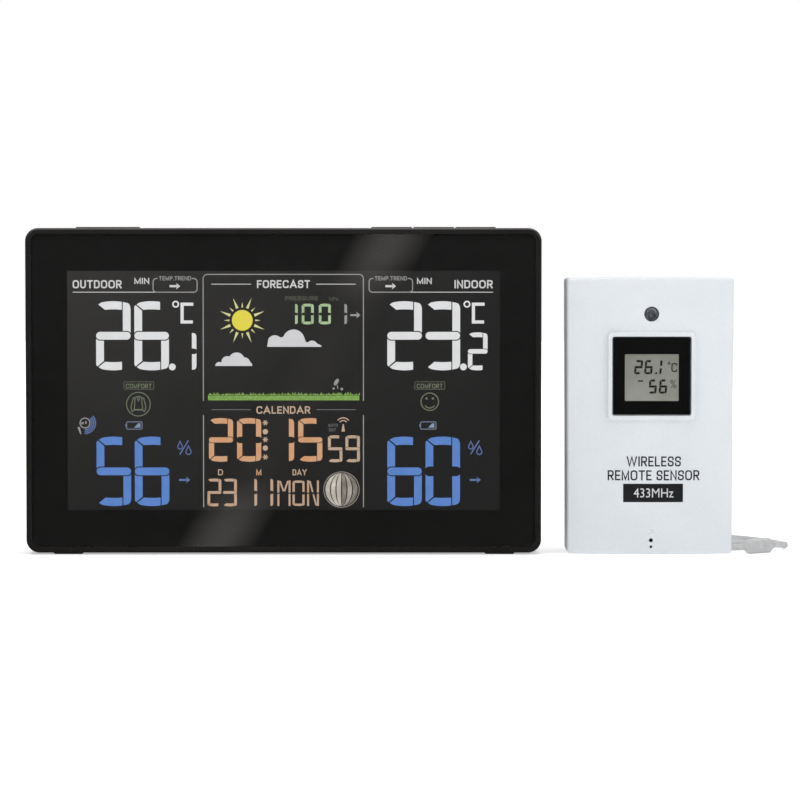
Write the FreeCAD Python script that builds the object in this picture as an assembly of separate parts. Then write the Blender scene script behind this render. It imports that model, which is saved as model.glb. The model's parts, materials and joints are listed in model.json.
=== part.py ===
import FreeCAD, Part
import math
import os

# Home weather station: a mains and battery powered display that stands on a table,
# and its remote outdoor sensor with a probe on a thin cord. Millimetres, +Z up.
# Both units face -Y. The table is z = 0. The origin is on the table, in the middle
# of the two units together.

os.makedirs("parts", exist_ok=True)
V = FreeCAD.Vector

# ---------------------------------------------------------------- driving dimensions
# Station case
ST_W = 188.7                # width of the face
ST_H = 118.9                # height of the face
ST_CORNER = 4.8             # corner radius of the face
ST_SPLIT = 6.0              # depth of the joint between front frame and rear case
ST_SLAB = 17.0              # depth of the slim part of the case
ST_BACK = 29.0              # depth to the back of the battery and stand housing
WALL = 2.0                  # case wall
RIM = 2.2                   # width of the frame around the lens
LENS_GAP = 0.1              # gap between lens and frame
LENS_RECESS = 0.15
LENS_T = 2.0
LEDGE_T = 1.5               # ledge that the lens is glued to
VIEW_W = 165.0              # opening in the ledge
VIEW_H = 95.0
PAIR_GAP = 9.3              # space between the station and the sensor

# Housing on the back of the station
HOUSE_W = 150.0
HOUSE_V0 = -55.6            # lowest edge, from the face's centre
HOUSE_V1 = 8.0
HOUSE_CORNER = 5.0

# Feet and fold-out stand
FOOT_H = 0.65
FOOT_W = 11.4
FOOT_U = 79.1
STAND_W = 57.6
STAND_L = 46.0              # from the hinge pin to the tip's centre
STAND_T = 3.0
STAND_BARREL = 1.9
STAND_PIN_R = 1.0
STAND_PIN_Z = 9.0           # height of the hinge pin above the table
STAND_PIN_D = 27.0          # depth of the hinge pin behind the face
STAND_POCKET_D = 24.8       # floor of the pocket that the stand folds into
TIP_R = 1.5
RUN_GAP = 0.05              # radial play of a turning pin

# Display stack, as depths behind the face
LCD_W = 164.0
LCD_H = 94.0
LCD_D0 = 2.35
LCD_D1 = 4.95
GUIDE_D0 = 5.05
GUIDE_D1 = 8.05
HOLDER_D1 = 9.2
BOARD_D0 = 9.3
BOARD_D1 = 10.9

# Top buttons: left edge, right edge, and what they do
TOP_BUTTONS = {
    "light_button": (-76.6, -53.2),
    "mode_button": (32.0, 47.0),
    "up_button": (47.5, 62.5),
    "down_button": (63.0, 77.8),
}
BUTTON_D0 = 8.9
BUTTON_D1 = 13.7
BUTTON_PROUD = 0.45
BUTTON_GAP = 0.2
BUTTON_STEM_R = 1.5
SWITCH_TOP = 55.95          # just clear of a pressed key, from the face's centre

# Station battery compartment (three AAA cells, upright, side by side)
AAA_R = 5.15
AAA_L = 44.5
CELL_U = -54.0
CELL_PITCH = 10.95
CELL_D = 21.2
BAY_W = 33.2
BAY_V0 = -47.5
BAY_V1 = 3.0
BAY_D0 = 15.4
CELL_FOOT = 3.0              # room for the contact below a cell
DOOR_T = 1.8
DOOR_GAP = 0.25
DOOR_LAP = 1.5              # how far the door lies over the ledge round the bay

# Sensor case
SE_W_TOP = 61.3
SE_W_BOTTOM = 60.5
SE_H = 101.6
SE_D = 25.0
SE_BOW = 3.2                # how far the face bulges in its middle
SE_CROWN = 0.3              # how far the top edge rises in its middle
SE_SPLIT = 12.0
SE_CORNER = 1.3
SE_SET_BACK = 0.6           # face of the sensor behind the face of the station
SE_FRAME = 32.1             # raised frame around the window
SE_WINDOW = 28.7
SE_WINDOW_U = 0.4
SE_WINDOW_V = 14.6

# Sensor battery compartment (two AA cells, upright, side by side)
AA_R = 7.1
AA_L = 50.3
SE_BAY_W = 31.0
SE_BAY_V0 = -27.5
SE_BAY_V1 = 29.0
SE_BAY_D0 = 8.7
SE_CELL_D = 16.0
SE_CELL_FOOT = 3.0
SE_KEYS_V0 = -39.0          # shallow pocket below the cells, with the small controls
SE_KEYS_D0 = 19.0

# Probe cord
CORD_R = 1.15
CORD_U = 25.3               # where the cord leaves the underside, from the middle
CORD_D = 16.0
GLAND_Z = 7.0
PROBE_R = 2.7
PROBE_L = 13.6
COIL_X = 99.0
COIL_Y = 14.0
COIL_MEAN_R = 12.65
COIL_COLUMNS = 3
COIL_LAYERS = 4

# ---------------------------------------------------------------- places that follow
STAND_DROP = math.asin((STAND_PIN_Z - TIP_R) / STAND_L)
TOTAL_DEPTH = STAND_PIN_D + STAND_L * math.cos(STAND_DROP) + TIP_R
FRONT_Y = -TOTAL_DEPTH / 2
PAIR_W = ST_W + PAIR_GAP + SE_W_TOP
ST_X = -PAIR_W / 2 + ST_W / 2
SE_X = PAIR_W / 2 - SE_W_TOP / 2
LENS_SEAT = LENS_RECESS + LENS_T
LEDGE_BACK = LENS_SEAT + LEDGE_T
CORD_D2 = 2 * CORD_R


class Face:
    """A unit's own frame: u to the right, v up from the face's centre, d behind the face."""

    def __init__(self, x, y, z):
        self.origin = V(x, y, z)

    def at(self, u, v, d):
        return self.origin + V(u, d, v)

    def box(self, u0, u1, v0, v1, d0, d1):
        return Part.makeBox(u1 - u0, d1 - d0, v1 - v0, self.at(u0, v0, d0))

    def plate(self, w, h, r, d0, d1, u=0.0, v=0.0):
        block = self.box(u - w / 2, u + w / 2, v - h / 2, v + h / 2, d0, d1)
        return round_edges(block, r, runs_along(V(0, 1, 0)))

    def rod(self, u, v, r, d0, d1):
        return Part.makeCylinder(r, d1 - d0, self.at(u, v, d0), V(0, 1, 0))

    def post(self, u, d, r, v0, v1):
        return Part.makeCylinder(r, v1 - v0, self.at(u, v0, d), V(0, 0, 1))

    def bar(self, v, d, r, u0, u1):
        return Part.makeCylinder(r, u1 - u0, self.at(u0, v, d), V(1, 0, 0))


ST = Face(ST_X, FRONT_Y, FOOT_H + ST_H / 2)
SE = Face(SE_X, FRONT_Y + SE_SET_BACK, SE_H / 2)


# ---------------------------------------------------------------- helpers
def runs_along(direction):
    def test(edge):
        if len(edge.Vertexes) < 2:
            return False
        step = edge.Vertexes[1].Point - edge.Vertexes[0].Point
        return step.Length > 1e-6 and step.cross(direction).Length < 1e-6 * step.Length
    return test


def lies_at_depth(y):
    def test(edge):
        bounds = edge.BoundBox
        return abs(bounds.YMin - y) < 1e-4 and abs(bounds.YMax - y) < 1e-4
    return test


def round_edges(solid, r, test):
    edges = [edge for edge in solid.Edges if test(edge)]
    return solid.makeFillet(r, edges)


def fuse(pieces):
    whole = pieces[0]
    if len(pieces) > 1:
        whole = whole.multiFuse(pieces[1:])
    return whole.removeSplitter()


def cut(solid, holes):
    for hole in holes:
        solid = solid.cut(hole)
    return solid


def bent_path(points):
    """Straight runs joined by tangent arcs, each as large as its two runs allow."""
    edges = []
    radii = []
    start = points[0]
    for before, corner, after in zip(points, points[1:], points[2:]):
        back = (before - corner).normalize()
        ahead = (after - corner).normalize()
        half_turn = (math.pi - back.getAngle(ahead)) / 2
        reach = 0.45 * min((before - corner).Length, (after - corner).Length)
        radius = reach / math.tan(half_turn)
        to_centre = (back + ahead).normalize()
        apex = corner + to_centre * (radius / math.cos(half_turn) - radius)
        enter = corner + back * reach
        leave = corner + ahead * reach
        edges.append(Part.LineSegment(start, enter).toShape())
        edges.append(Part.Arc(enter, apex, leave).toShape())
        radii.append(radius)
        start = leave
    edges.append(Part.LineSegment(start, points[-1]).toShape())
    return Part.Wire(edges), radii


def round_wire(points, r):
    """Round wire or cord of radius r along a bent path."""
    path, radii = bent_path(points)
    ring = Part.Wire([Part.makeCircle(r, points[0], points[1] - points[0])])
    return path.makePipeShell([ring], True, False), path.Length, radii


def save(name, shape):
    if isinstance(shape, (list, tuple)):
        shape = Part.makeCompound(list(shape))
    bad = [solid for solid in shape.Solids if not solid.isValid() or solid.Volume <= 0]
    print(f"{name:22s} solids {len(shape.Solids):2d}  volume {shape.Volume / 1000:8.3f} cm3"
          f"  {'BAD' if bad or not shape.Solids else 'ok'}")
    shape.exportStep(f"parts/{name}.step")


# ---------------------------------------------------------------- station, outside
CASE_SCREW_U = 89.2
CASE_SCREW_V = 46.0
CASE_BOSS_R = 2.8
SCREW_SPOTS = [(side * CASE_SCREW_U, row * CASE_SCREW_V) for side in (-1, 1) for row in (-1, 0, 1)]
BOARD_SCREW_U = 84.2
BOARD_SCREW_V = 49.2
BOARD_SCREW_SPOTS = [(side * BOARD_SCREW_U, row * BOARD_SCREW_V) for side in (-1, 1) for row in (-1, 1)]
KEYHOLE_U = 45.0
KEYHOLE_V = 36.0
JACK_V = -42.0
JACK_D = 21.5
SPEAKER_U = 52.5
SPEAKER_V = -22.0
VENT_U = -84.0
RESET_U = 52.5
RESET_V = 14.0
SLOT_PITCH = 2.6            # speaker slots
SLOT_REACH = 9.5


def front_lens():
    w = ST_W - 2 * (RIM + LENS_GAP)
    h = ST_H - 2 * (RIM + LENS_GAP)
    lens = ST.plate(w, h, ST_CORNER - RIM, LENS_RECESS, LENS_SEAT)
    return round_edges(lens, 0.3, lies_at_depth(ST.at(0, 0, LENS_RECESS).y))


def front_frame():
    body = ST.plate(ST_W, ST_H, ST_CORNER, 0, ST_SPLIT)
    body = round_edges(body, 0.9, lies_at_depth(FRONT_Y))
    seat = ST.plate(ST_W - 2 * RIM, ST_H - 2 * RIM, ST_CORNER - RIM + LENS_GAP, -1, LENS_SEAT)
    view = ST.plate(VIEW_W, VIEW_H, 1.0, 0, ST_SPLIT)
    hollow = ST.plate(ST_W - 2 * WALL, ST_H - 2 * WALL, ST_CORNER - WALL, LEDGE_BACK, ST_SPLIT + 1)
    body = cut(body, [seat, view, hollow])
    bosses = [ST.rod(u, v, CASE_BOSS_R, LEDGE_BACK - 0.5, 9.4) for u, v in SCREW_SPOTS]
    body = fuse([body] + bosses)
    return cut(body, [ST.rod(u, v, 1.25, LEDGE_BACK + 0.5, 10) for u, v in SCREW_SPOTS])


def keyhole(face, u, v, head_r, slot_r, rise, d0, d1):
    """Round entry for a screw head, with a narrower slot above it."""
    entry = face.rod(u, v, head_r, d0, d1)
    slot = face.box(u - slot_r, u + slot_r, v, v + rise, d0, d1)
    end = face.rod(u, v + rise, slot_r, d0, d1)
    return fuse([entry, slot, end])


def rear_case_shell():
    slab = ST.plate(ST_W, ST_H, ST_CORNER, ST_SPLIT, ST_SLAB)
    slab = round_edges(slab, 2.2, lies_at_depth(ST.at(0, 0, ST_SLAB).y))
    house_h = HOUSE_V1 - HOUSE_V0
    house_v = (HOUSE_V1 + HOUSE_V0) / 2
    house = ST.plate(HOUSE_W, house_h, HOUSE_CORNER, ST_SLAB - 3, ST_BACK, v=house_v)
    house = round_edges(house, 2.4, lies_at_depth(ST.at(0, 0, ST_BACK).y))
    inside = ST.plate(ST_W - 2 * WALL, ST_H - 2 * WALL, ST_CORNER - WALL, ST_SPLIT - 1, ST_SLAB - WALL)
    house_in = ST.plate(HOUSE_W - 2 * WALL, house_h - 2 * WALL, HOUSE_CORNER - WALL,
                        ST_SPLIT, ST_BACK - WALL, v=house_v)
    return cut(fuse([slab, house]), [inside, house_in])


def battery_bay_walls():
    pad = 1.4
    return ST.box(CELL_U - BAY_W / 2 - pad, CELL_U + BAY_W / 2 + pad, BAY_V0 - pad, BAY_V1 + pad,
                  BAY_D0 - pad, ST_BACK - 1)


def battery_bay():
    return ST.box(CELL_U - BAY_W / 2, CELL_U + BAY_W / 2, BAY_V0, BAY_V1, BAY_D0, ST_BACK + 1)


def station_door_size():
    return BAY_W + 2 * DOOR_LAP, BAY_V1 - BAY_V0 + 2 * DOOR_LAP, (BAY_V1 + BAY_V0) / 2


def stand_pocket():
    low = STAND_PIN_Z - STAND_BARREL - 0.35 - ST.origin.z
    high = STAND_PIN_Z + STAND_L + TIP_R + 0.8 - ST.origin.z
    half = STAND_W / 2 + 0.4
    pocket = ST.box(-half, half, low, high, STAND_POCKET_D, ST_BACK + 1)
    finger = ST.bar(high, ST_BACK + 1.5, 5.0, -9, 9)
    return fuse([pocket, finger])


def stand_pocket_walls():
    half = STAND_W / 2 + 0.4 + 4.5
    high = STAND_PIN_Z + STAND_L + TIP_R + 0.8 + 1.6 - ST.origin.z
    floor = ST.box(-half, half, HOUSE_V0 + 1, high, STAND_POCKET_D - 1.8, ST_BACK - 1)
    finger = ST.box(-11, 11, high - 2, high + 6, STAND_POCKET_D - 0.8, ST_BACK - 1)
    return [floor, finger]


def button_openings():
    """One opening for the wide button and one for the three that stand together."""
    light = TOP_BUTTONS["light_button"]
    spans = [light, (TOP_BUTTONS["mode_button"][0], TOP_BUTTONS["down_button"][1])]
    return [ST.box(left - BUTTON_GAP, right + BUTTON_GAP, ST_H / 2 - WALL - 1, ST_H / 2 + 1,
                   BUTTON_D0 - BUTTON_GAP, BUTTON_D1 + BUTTON_GAP) for left, right in spans]


def speaker_slots():
    slots = []
    for row in range(-3, 4):
        v = SPEAKER_V + row * SLOT_PITCH
        half = math.sqrt(SLOT_REACH ** 2 - (row * SLOT_PITCH) ** 2)
        slots.append(ST.box(SPEAKER_U - half, SPEAKER_U + half, v - 0.6, v + 0.6, ST_BACK - 3, ST_BACK + 1))
    return slots


def air_vents():
    return [ST.box(VENT_U - 4, VENT_U + 4, v - 0.6, v + 0.6, ST_SLAB - 3, ST_SLAB + 1)
            for v in (-27.5, -24.5, -21.5, -18.5, -15.5, -12.5)]


def rear_case():
    door_w, door_h, door_v = station_door_size()
    bosses = [ST.rod(u, v, CASE_BOSS_R, 9.6, ST_SLAB - 0.5) for u, v in SCREW_SPOTS]
    ribs = [ST.box(u - 1.5, u + 1.5, 50.9, 51.7, 9.5, ST_SLAB - 1) for u in (-40.0, 0.0, 40.0)]
    ears = [ST.box(side * 33 - 2.2, side * 33 + 2.2, HOUSE_V0 + 1, HOUSE_V0 + 9, 23.2, ST_BACK - 1.2)
            for side in (-1, 1)]
    case = fuse([rear_case_shell(), battery_bay_walls()] + stand_pocket_walls() + bosses + ribs + ears)
    pin_v = STAND_PIN_Z - ST.origin.z
    holes = [
        battery_bay(),
        ST.plate(door_w + 2 * DOOR_GAP, door_h + 2 * DOOR_GAP, 2.2, ST_BACK - DOOR_T, ST_BACK + 1,
                 u=CELL_U, v=door_v),
        stand_pocket(),
        ST.bar(pin_v, STAND_PIN_D, STAND_PIN_R, -STAND_W / 2 - 3.4, STAND_W / 2 + 3.4),
        keyhole(ST, -KEYHOLE_U, KEYHOLE_V, 4.25, 2.1, 8, ST_SLAB - 3, ST_SLAB + 1),
        keyhole(ST, KEYHOLE_U, KEYHOLE_V, 4.25, 2.1, 8, ST_SLAB - 3, ST_SLAB + 1),
        ST.bar(JACK_V, JACK_D, 3.4, HOUSE_W / 2 - 3, HOUSE_W / 2 + 1),
        ST.rod(RESET_U, RESET_V, 0.9, ST_SLAB - 3, ST_SLAB + 1),
    ]
    holes += button_openings() + speaker_slots() + air_vents()
    for u, v in SCREW_SPOTS:
        holes.append(ST.rod(u, v, 1.45, 9, ST_SLAB + 1))
        holes.append(ST.rod(u, v, 2.55, 13.2, ST_SLAB + 1))
    return cut(case, holes)


def top_button(left, right):
    """Cap with a flange below the case wall, front and back, and a stem to its switch."""
    roof = ST_H / 2
    cap = ST.box(left, right, roof - WALL - 0.2, roof + BUTTON_PROUD, BUTTON_D0, BUTTON_D1)
    cap_z = ST.origin.z + roof + BUTTON_PROUD
    cap = round_edges(cap, 0.35, lambda edge: edge.BoundBox.ZMin > cap_z - 1e-4)
    flange = ST.box(left, right, roof - WALL - 1.0, roof - WALL - 0.03, BUTTON_D0 - 0.8, BUTTON_D1 + 0.9)
    stem = ST.post((left + right) / 2, (BUTTON_D0 + BUTTON_D1) / 2, BUTTON_STEM_R, 55.8, roof - WALL - 0.5)
    return fuse([cap, flange, stem])


def feet():
    pads = []
    for side in (-1, 1):
        u = side * FOOT_U
        top = FOOT_W / 2
        bottom = top - 0.7
        low = -ST_H / 2 - FOOT_H
        outline = Part.makePolygon([ST.at(u - top, -ST_H / 2, 2.5), ST.at(u + top, -ST_H / 2, 2.5),
                                    ST.at(u + bottom, low, 2.5), ST.at(u - bottom, low, 2.5),
                                    ST.at(u - top, -ST_H / 2, 2.5)])
        pads.append(Part.Face(outline).extrude(V(0, 11.5, 0)))
    return pads


def battery_door():
    w, h, v = station_door_size()
    door = ST.plate(w, h, 2.0, ST_BACK - DOOR_T, ST_BACK, u=CELL_U, v=v)
    door = round_edges(door, 0.4, lies_at_depth(ST.at(0, 0, ST_BACK).y))
    pegs = [ST.box(CELL_U + side * 9 - 2.5, CELL_U + side * 9 + 2.5, BAY_V0 + 0.25, BAY_V0 + 1.5,
                   ST_BACK - DOOR_T - 1.6, ST_BACK - DOOR_T + 0.2) for side in (-1, 1)]
    top = v + h / 2
    latch_slots = [ST.box(CELL_U + side * 6 - 0.5, CELL_U + side * 6 + 0.5, top - 7, top + 1,
                          ST_BACK - DOOR_T - 1, ST_BACK + 1) for side in (-1, 1)]
    ridges = [ST.box(CELL_U - 4, CELL_U + 4, top - 6 + 1.4 * step, top - 5.4 + 1.4 * step,
                     ST_BACK - 0.3, ST_BACK + 0.3) for step in range(3)]
    return fuse([cut(door, latch_slots)] + pegs + ridges)


def swing(shape):
    """Turn a piece that was drawn straight back from the hinge down to the table."""
    shape.rotate(ST.at(0, STAND_PIN_Z - ST.origin.z, STAND_PIN_D), V(1, 0, 0), -math.degrees(STAND_DROP))
    return shape


def kickstand():
    v = STAND_PIN_Z - ST.origin.z
    half = STAND_W / 2
    d_end = STAND_PIN_D + STAND_L - 0.6
    leaf = ST.box(-half, half, v - STAND_T / 2, v + STAND_T / 2, STAND_PIN_D, d_end)
    leaf = round_edges(leaf, 6.0, lambda edge: runs_along(V(0, 0, 1))(edge)
                       and edge.BoundBox.YMin > ST.origin.y + d_end - 1e-3)
    barrel = ST.bar(v, STAND_PIN_D, STAND_BARREL, -half, half)
    window = ST.box(-half + 11, half - 11, v - 3, v + 3, STAND_PIN_D + 10, d_end - 12)
    window = round_edges(window, 3.0, runs_along(V(0, 0, 1)))
    ribs = [ST.box(u - 0.6, u + 0.6, v + STAND_T / 2 - 0.2, v + STAND_T / 2 + 0.25,
                   STAND_PIN_D + 3, STAND_PIN_D + 9) for u in (-18.0, -12.0, -6.0, 0.0, 6.0, 12.0, 18.0)]
    body = cut(fuse([leaf, barrel]), [window])
    body = fuse([body] + ribs)
    bore = ST.bar(v, STAND_PIN_D, STAND_PIN_R + RUN_GAP, -half - 1, half + 1)
    return swing(cut(body, [bore]))


def stand_pad():
    """Rubber strip let into the end of the stand."""
    v = STAND_PIN_Z - ST.origin.z
    strip = ST.bar(v, STAND_PIN_D + STAND_L, TIP_R, -STAND_W / 2 + 6.5, STAND_W / 2 - 6.5)
    back = ST.box(-STAND_W, STAND_W, v - 5, v + 5, STAND_PIN_D, STAND_PIN_D + STAND_L - 0.6)
    return swing(strip.cut(back))


def stand_pin():
    v = STAND_PIN_Z - ST.origin.z
    return ST.bar(v, STAND_PIN_D, STAND_PIN_R, -STAND_W / 2 - 3.3, STAND_W / 2 + 3.3)


def case_screws():
    screws = []
    for u, v in SCREW_SPOTS:
        head = ST.rod(u, v, 2.3, 13.2, 14.8)
        slot_a = ST.box(u - 1.3, u + 1.3, v - 0.3, v + 0.3, 14.1, 15)
        slot_b = ST.box(u - 0.3, u + 0.3, v - 1.3, v + 1.3, 14.1, 15)
        shank = ST.rod(u, v, 1.25, LEDGE_BACK + 0.6, 13.3)
        screws.append(cut(fuse([head, shank]), [slot_a, slot_b]))
    return screws


# ---------------------------------------------------------------- station, inside
def lcd_panel():
    return ST.plate(LCD_W, LCD_H, 0.6, LCD_D0, LCD_D1)


def light_guide():
    return ST.plate(LCD_W, LCD_H - 3.0, 0.6, GUIDE_D0, GUIDE_D1, v=1.5)


def backlight_bar():
    strip = ST.box(-75, 75, -46.9, -45.9, GUIDE_D0, GUIDE_D1)
    lamps = [ST.box(u - 1.5, u + 1.5, -45.95, -45.3, GUIDE_D0 + 0.8, GUIDE_D1 - 0.8)
             for u in range(-70, 71, 14)]
    return fuse([strip] + lamps)


def display_holder():
    ring = ST.plate(172, 102, 2.0, LEDGE_BACK + 0.15, HOLDER_D1)
    ring = cut(ring, [ST.plate(LCD_W + 0.6, LCD_H + 0.6, 0.8, LEDGE_BACK - 1, HOLDER_D1 + 1)])
    return cut(ring, [ST.rod(u, v, 0.9, HOLDER_D1 - 4.2, HOLDER_D1 + 1) for u, v in BOARD_SCREW_SPOTS])


def main_board():
    board = ST.plate(171, 101, 1.5, BOARD_D0, BOARD_D1)
    return cut(board, [ST.rod(u, v, 1.1, BOARD_D0 - 1, BOARD_D1 + 1) for u, v in BOARD_SCREW_SPOTS])


def board_screws():
    screws = []
    for u, v in BOARD_SCREW_SPOTS:
        head = ST.rod(u, v, 1.6, BOARD_D1, BOARD_D1 + 1.2)
        shank = ST.rod(u, v, 0.9, BOARD_D1 - 5.4, BOARD_D1 + 0.1)
        slot = ST.box(u - 1.2, u + 1.2, v - 0.25, v + 0.25, BOARD_D1 + 0.7, BOARD_D1 + 2)
        screws.append(cut(fuse([head, shank]), [slot]))
    return screws


def board_chips():
    """Controller, driver, regulator, crystal and two capacitors on the back of the board."""
    places = [(-5, 25, 14, 14), (25, 26, 9, 6), (48, 28, 6, 5), (-18, 38, 7, 3)]
    chips = [ST.box(u - w / 2, u + w / 2, v - h / 2, v + h / 2, BOARD_D1, BOARD_D1 + 1.6)
             for u, v, w, h in places]
    return chips + [ST.rod(u, 38, 2.2, BOARD_D1, BOARD_D1 + 3.6) for u in (56.0, 62.0)]


def receiver_module():
    return ST.box(-62, -44, 22, 32, BOARD_D1 + 0.1, BOARD_D1 + 1.3)


def receiver_antenna():
    """Quarter-wave wire from the module, along the top of the board and down its side."""
    d = BOARD_D1 + 1.7
    spots = [(-50, 31, d), (-50, 44.5, d), (60, 44.5, d), (72, 40, d), (72, 8, d)]
    return round_wire([ST.at(*spot) for spot in spots], 0.4)[0]


def button_board():
    return ST.box(-81, 81, 51.75, 52.9, 8.3, 14.6)


def tact_switches():
    switches = []
    for left, right in TOP_BUTTONS.values():
        u = (left + right) / 2
        d = (BUTTON_D0 + BUTTON_D1) / 2
        body = ST.box(u - 3, u + 3, 52.9, SWITCH_TOP, d - 2.8, d + 2.8)
        switches.append(cut(body, [ST.post(u, d, BUTTON_STEM_R + 0.3, 54.8, 57)]))
    return switches


def speaker():
    cone = ST.rod(SPEAKER_U, SPEAKER_V, 11.5, ST_BACK - WALL - 4.6, ST_BACK - WALL - 0.2)
    magnet = ST.rod(SPEAKER_U, SPEAKER_V, 6.0, ST_BACK - WALL - 7.2, ST_BACK - WALL - 4.5)
    dish = Part.makeCone(9.5, 4.0, 1.8, ST.at(SPEAKER_U, SPEAKER_V, ST_BACK - WALL - 0.2), V(0, -1, 0))
    return cut(fuse([cone, magnet]), [dish])


def climate_element():
    """Small board with the indoor temperature and humidity element behind the vents."""
    board = ST.box(VENT_U - 1.2, VENT_U + 3.5, -28, -12, 13.2, 14.2)
    element = ST.box(VENT_U - 0.4, VENT_U + 2.6, -22, -18, 12.1, 13.25)
    return fuse([board, element])


def dc_jack():
    u1 = HOUSE_W / 2 - WALL
    body = ST.box(u1 - 13, u1, JACK_V - 4.5, JACK_V + 4.5, JACK_D - 4.4, JACK_D + 4.4)
    collar = ST.bar(JACK_V, JACK_D, 3.35, u1 - 1, HOUSE_W / 2)
    bore = ST.bar(JACK_V, JACK_D, 2.8, u1 - 8.5, HOUSE_W / 2 + 1)
    pin = ST.bar(JACK_V, JACK_D, 0.95, u1 - 9.5, HOUSE_W / 2 - 1.0)
    return fuse([cut(fuse([body, collar]), [bore]), pin])


def cell(face, u, d, v0, r, length, nub_r, upward):
    """One dry cell, standing along v, with its nub at the top or the bottom."""
    nub = 1.0
    body_v0 = v0 if upward else v0 + nub
    body = face.post(u, d, r, body_v0, body_v0 + length - nub)
    body = body.makeFillet(0.5, [edge for edge in body.Edges if len(edge.Vertexes) == 1])
    nub_v0 = v0 + length - nub - 0.1 if upward else v0
    return fuse([body, face.post(u, d, nub_r, nub_v0, nub_v0 + nub + 0.1)])


def station_cells():
    v0 = BAY_V0 + CELL_FOOT
    return [cell(ST, CELL_U + place * CELL_PITCH, CELL_D, v0, AAA_R, AAA_L, 1.9, place != 0)
            for place in (-1, 0, 1)]


def leaf_spring(face, u, d, v, rise, half, width, upward):
    """Arched strip that stands on a contact plate and presses on a cell's flat end."""
    leaf_t = 0.3
    radius = (half ** 2 + rise ** 2) / (2 * rise)
    side = 1 if upward else -1
    centre_v = v + side * (rise - radius)
    outer = face.rod(u, centre_v, radius, d - width / 2, d + width / 2)
    inner = face.rod(u, centre_v, radius - leaf_t, d - width, d + width)
    keep = face.box(u - half, u + half, min(v, v + side * rise), max(v, v + side * rise),
                    d - width, d + width)
    return outer.cut(inner).common(keep)


def contact_set(face, places, d, ends, cell_ends, r, reach):
    """End plates in the bay, with a leaf spring between a plate and each cell's flat end."""
    pieces = []
    plate_t = 0.4
    play = 0.05
    for u, upward in places:
        half = r - 0.6
        low = face.box(u - half, u + half, ends[0] + play, ends[0] + play + plate_t, d - reach, d + reach)
        high = face.box(u - half, u + half, ends[1] - play - plate_t, ends[1] - play, d - reach, d + reach)
        gap = cell_ends[0] - ends[0] if upward else ends[1] - cell_ends[1]
        foot = ends[0] + play + plate_t if upward else ends[1] - play - plate_t
        leaf = leaf_spring(face, u, d, foot, gap - plate_t - 2 * play, half - 0.5, 2.4, upward)
        pieces.append(fuse([low, leaf]) if upward else low)
        pieces.append(high if upward else fuse([high, leaf]))
    return pieces


def station_contacts():
    places = [(CELL_U + place * CELL_PITCH, place != 0) for place in (-1, 0, 1)]
    v0 = BAY_V0 + CELL_FOOT
    return contact_set(ST, places, CELL_D, (BAY_V0, BAY_V1), (v0, v0 + AAA_L), AAA_R, 4.2)


# ---------------------------------------------------------------- sensor, outside
NOTCH_D0 = CORD_D - 2.5
NOTCH_D1 = CORD_D + 2.5
NOTCH_TOP = GLAND_Z + 0.6
SE_SCREWS = [(side * 25.4, v) for side in (-1, 1) for v in (-37.0, 43.5)]
SE_KEYHOLE_V = 41.0
MARK_U = 0.3                # line of the lamp, the dimple and the two holes
LED_V = 37.3
LED_R = 2.65
SE_DOOR_MARGIN = 1.5
TX_U = -9.0
UNIT_U = -1.5
CHANNEL_U = 9.5
KEYS_V = -34.0


def face_bow(u):
    """Depth of the bulged face at u from its middle."""
    radius = (SE_W_TOP ** 2 / 4 + SE_BOW ** 2) / (2 * SE_BOW)
    return radius - math.sqrt(radius ** 2 - u ** 2)


def sensor_body(inset):
    """The sensor's outer form, or the same form drawn in by inset on every side."""
    wide = SE_W_TOP / 2 + 4
    low = -SE_H / 2 - 5
    arc = Part.Arc(SE.at(-wide, low, inset + face_bow(wide)), SE.at(0, low, inset),
                   SE.at(wide, low, inset + face_bow(wide)))
    corners = [SE.at(wide, low, inset + face_bow(wide)), SE.at(wide, low, SE_D - inset),
               SE.at(-wide, low, SE_D - inset), SE.at(-wide, low, inset + face_bow(wide))]
    plan = Part.Wire([arc.toShape()] + Part.makePolygon(corners).Edges)
    column = Part.Face(plan).extrude(V(0, 0, SE_H + 12))
    half = SE_W_TOP / 2 - inset
    half_low = SE_W_BOTTOM / 2 - inset
    top_v = SE_H / 2 - inset
    right = SE.at(half, top_v - SE_CROWN, -9)
    left = SE.at(-half, top_v - SE_CROWN, -9)
    top = Part.Arc(left, SE.at(0, top_v, -9), right)
    sides = [right, SE.at(half_low, -top_v, -9), SE.at(-half_low, -top_v, -9), left]
    outline = Part.Wire([top.toShape()] + Part.makePolygon(sides).Edges)
    front = Part.Face(outline).extrude(V(0, SE_D + 20, 0))
    front = round_edges(front, max(SE_CORNER - inset, 0.6), runs_along(V(0, 1, 0)))
    return column.common(front)


def sensor_shell():
    outer = sensor_body(0)
    face = min(outer.Faces, key=lambda item: item.CenterOfMass.y)
    outer = outer.makeFillet(1.2, face.Edges)
    back = max(outer.Faces, key=lambda item: item.CenterOfMass.y)
    outer = outer.makeFillet(1.5, back.Edges)
    return outer.cut(sensor_body(WALL))


def seal_ring():
    """Gasket that lies half in each shell, round the joint."""
    slab = SE.box(-40, 40, -60, 60, SE_SPLIT - 0.5, SE_SPLIT + 0.5)
    return sensor_body(0.6).cut(sensor_body(1.4)).common(slab)


def window_frame():
    """Raised square frame round the window, part of the front shell."""
    frame = SE.plate(SE_FRAME, SE_FRAME, 1.6, -0.6, 2.7, u=SE_WINDOW_U, v=SE_WINDOW_V)
    return round_edges(frame, 0.45, lies_at_depth(SE.at(0, 0, -0.6).y))


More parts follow.
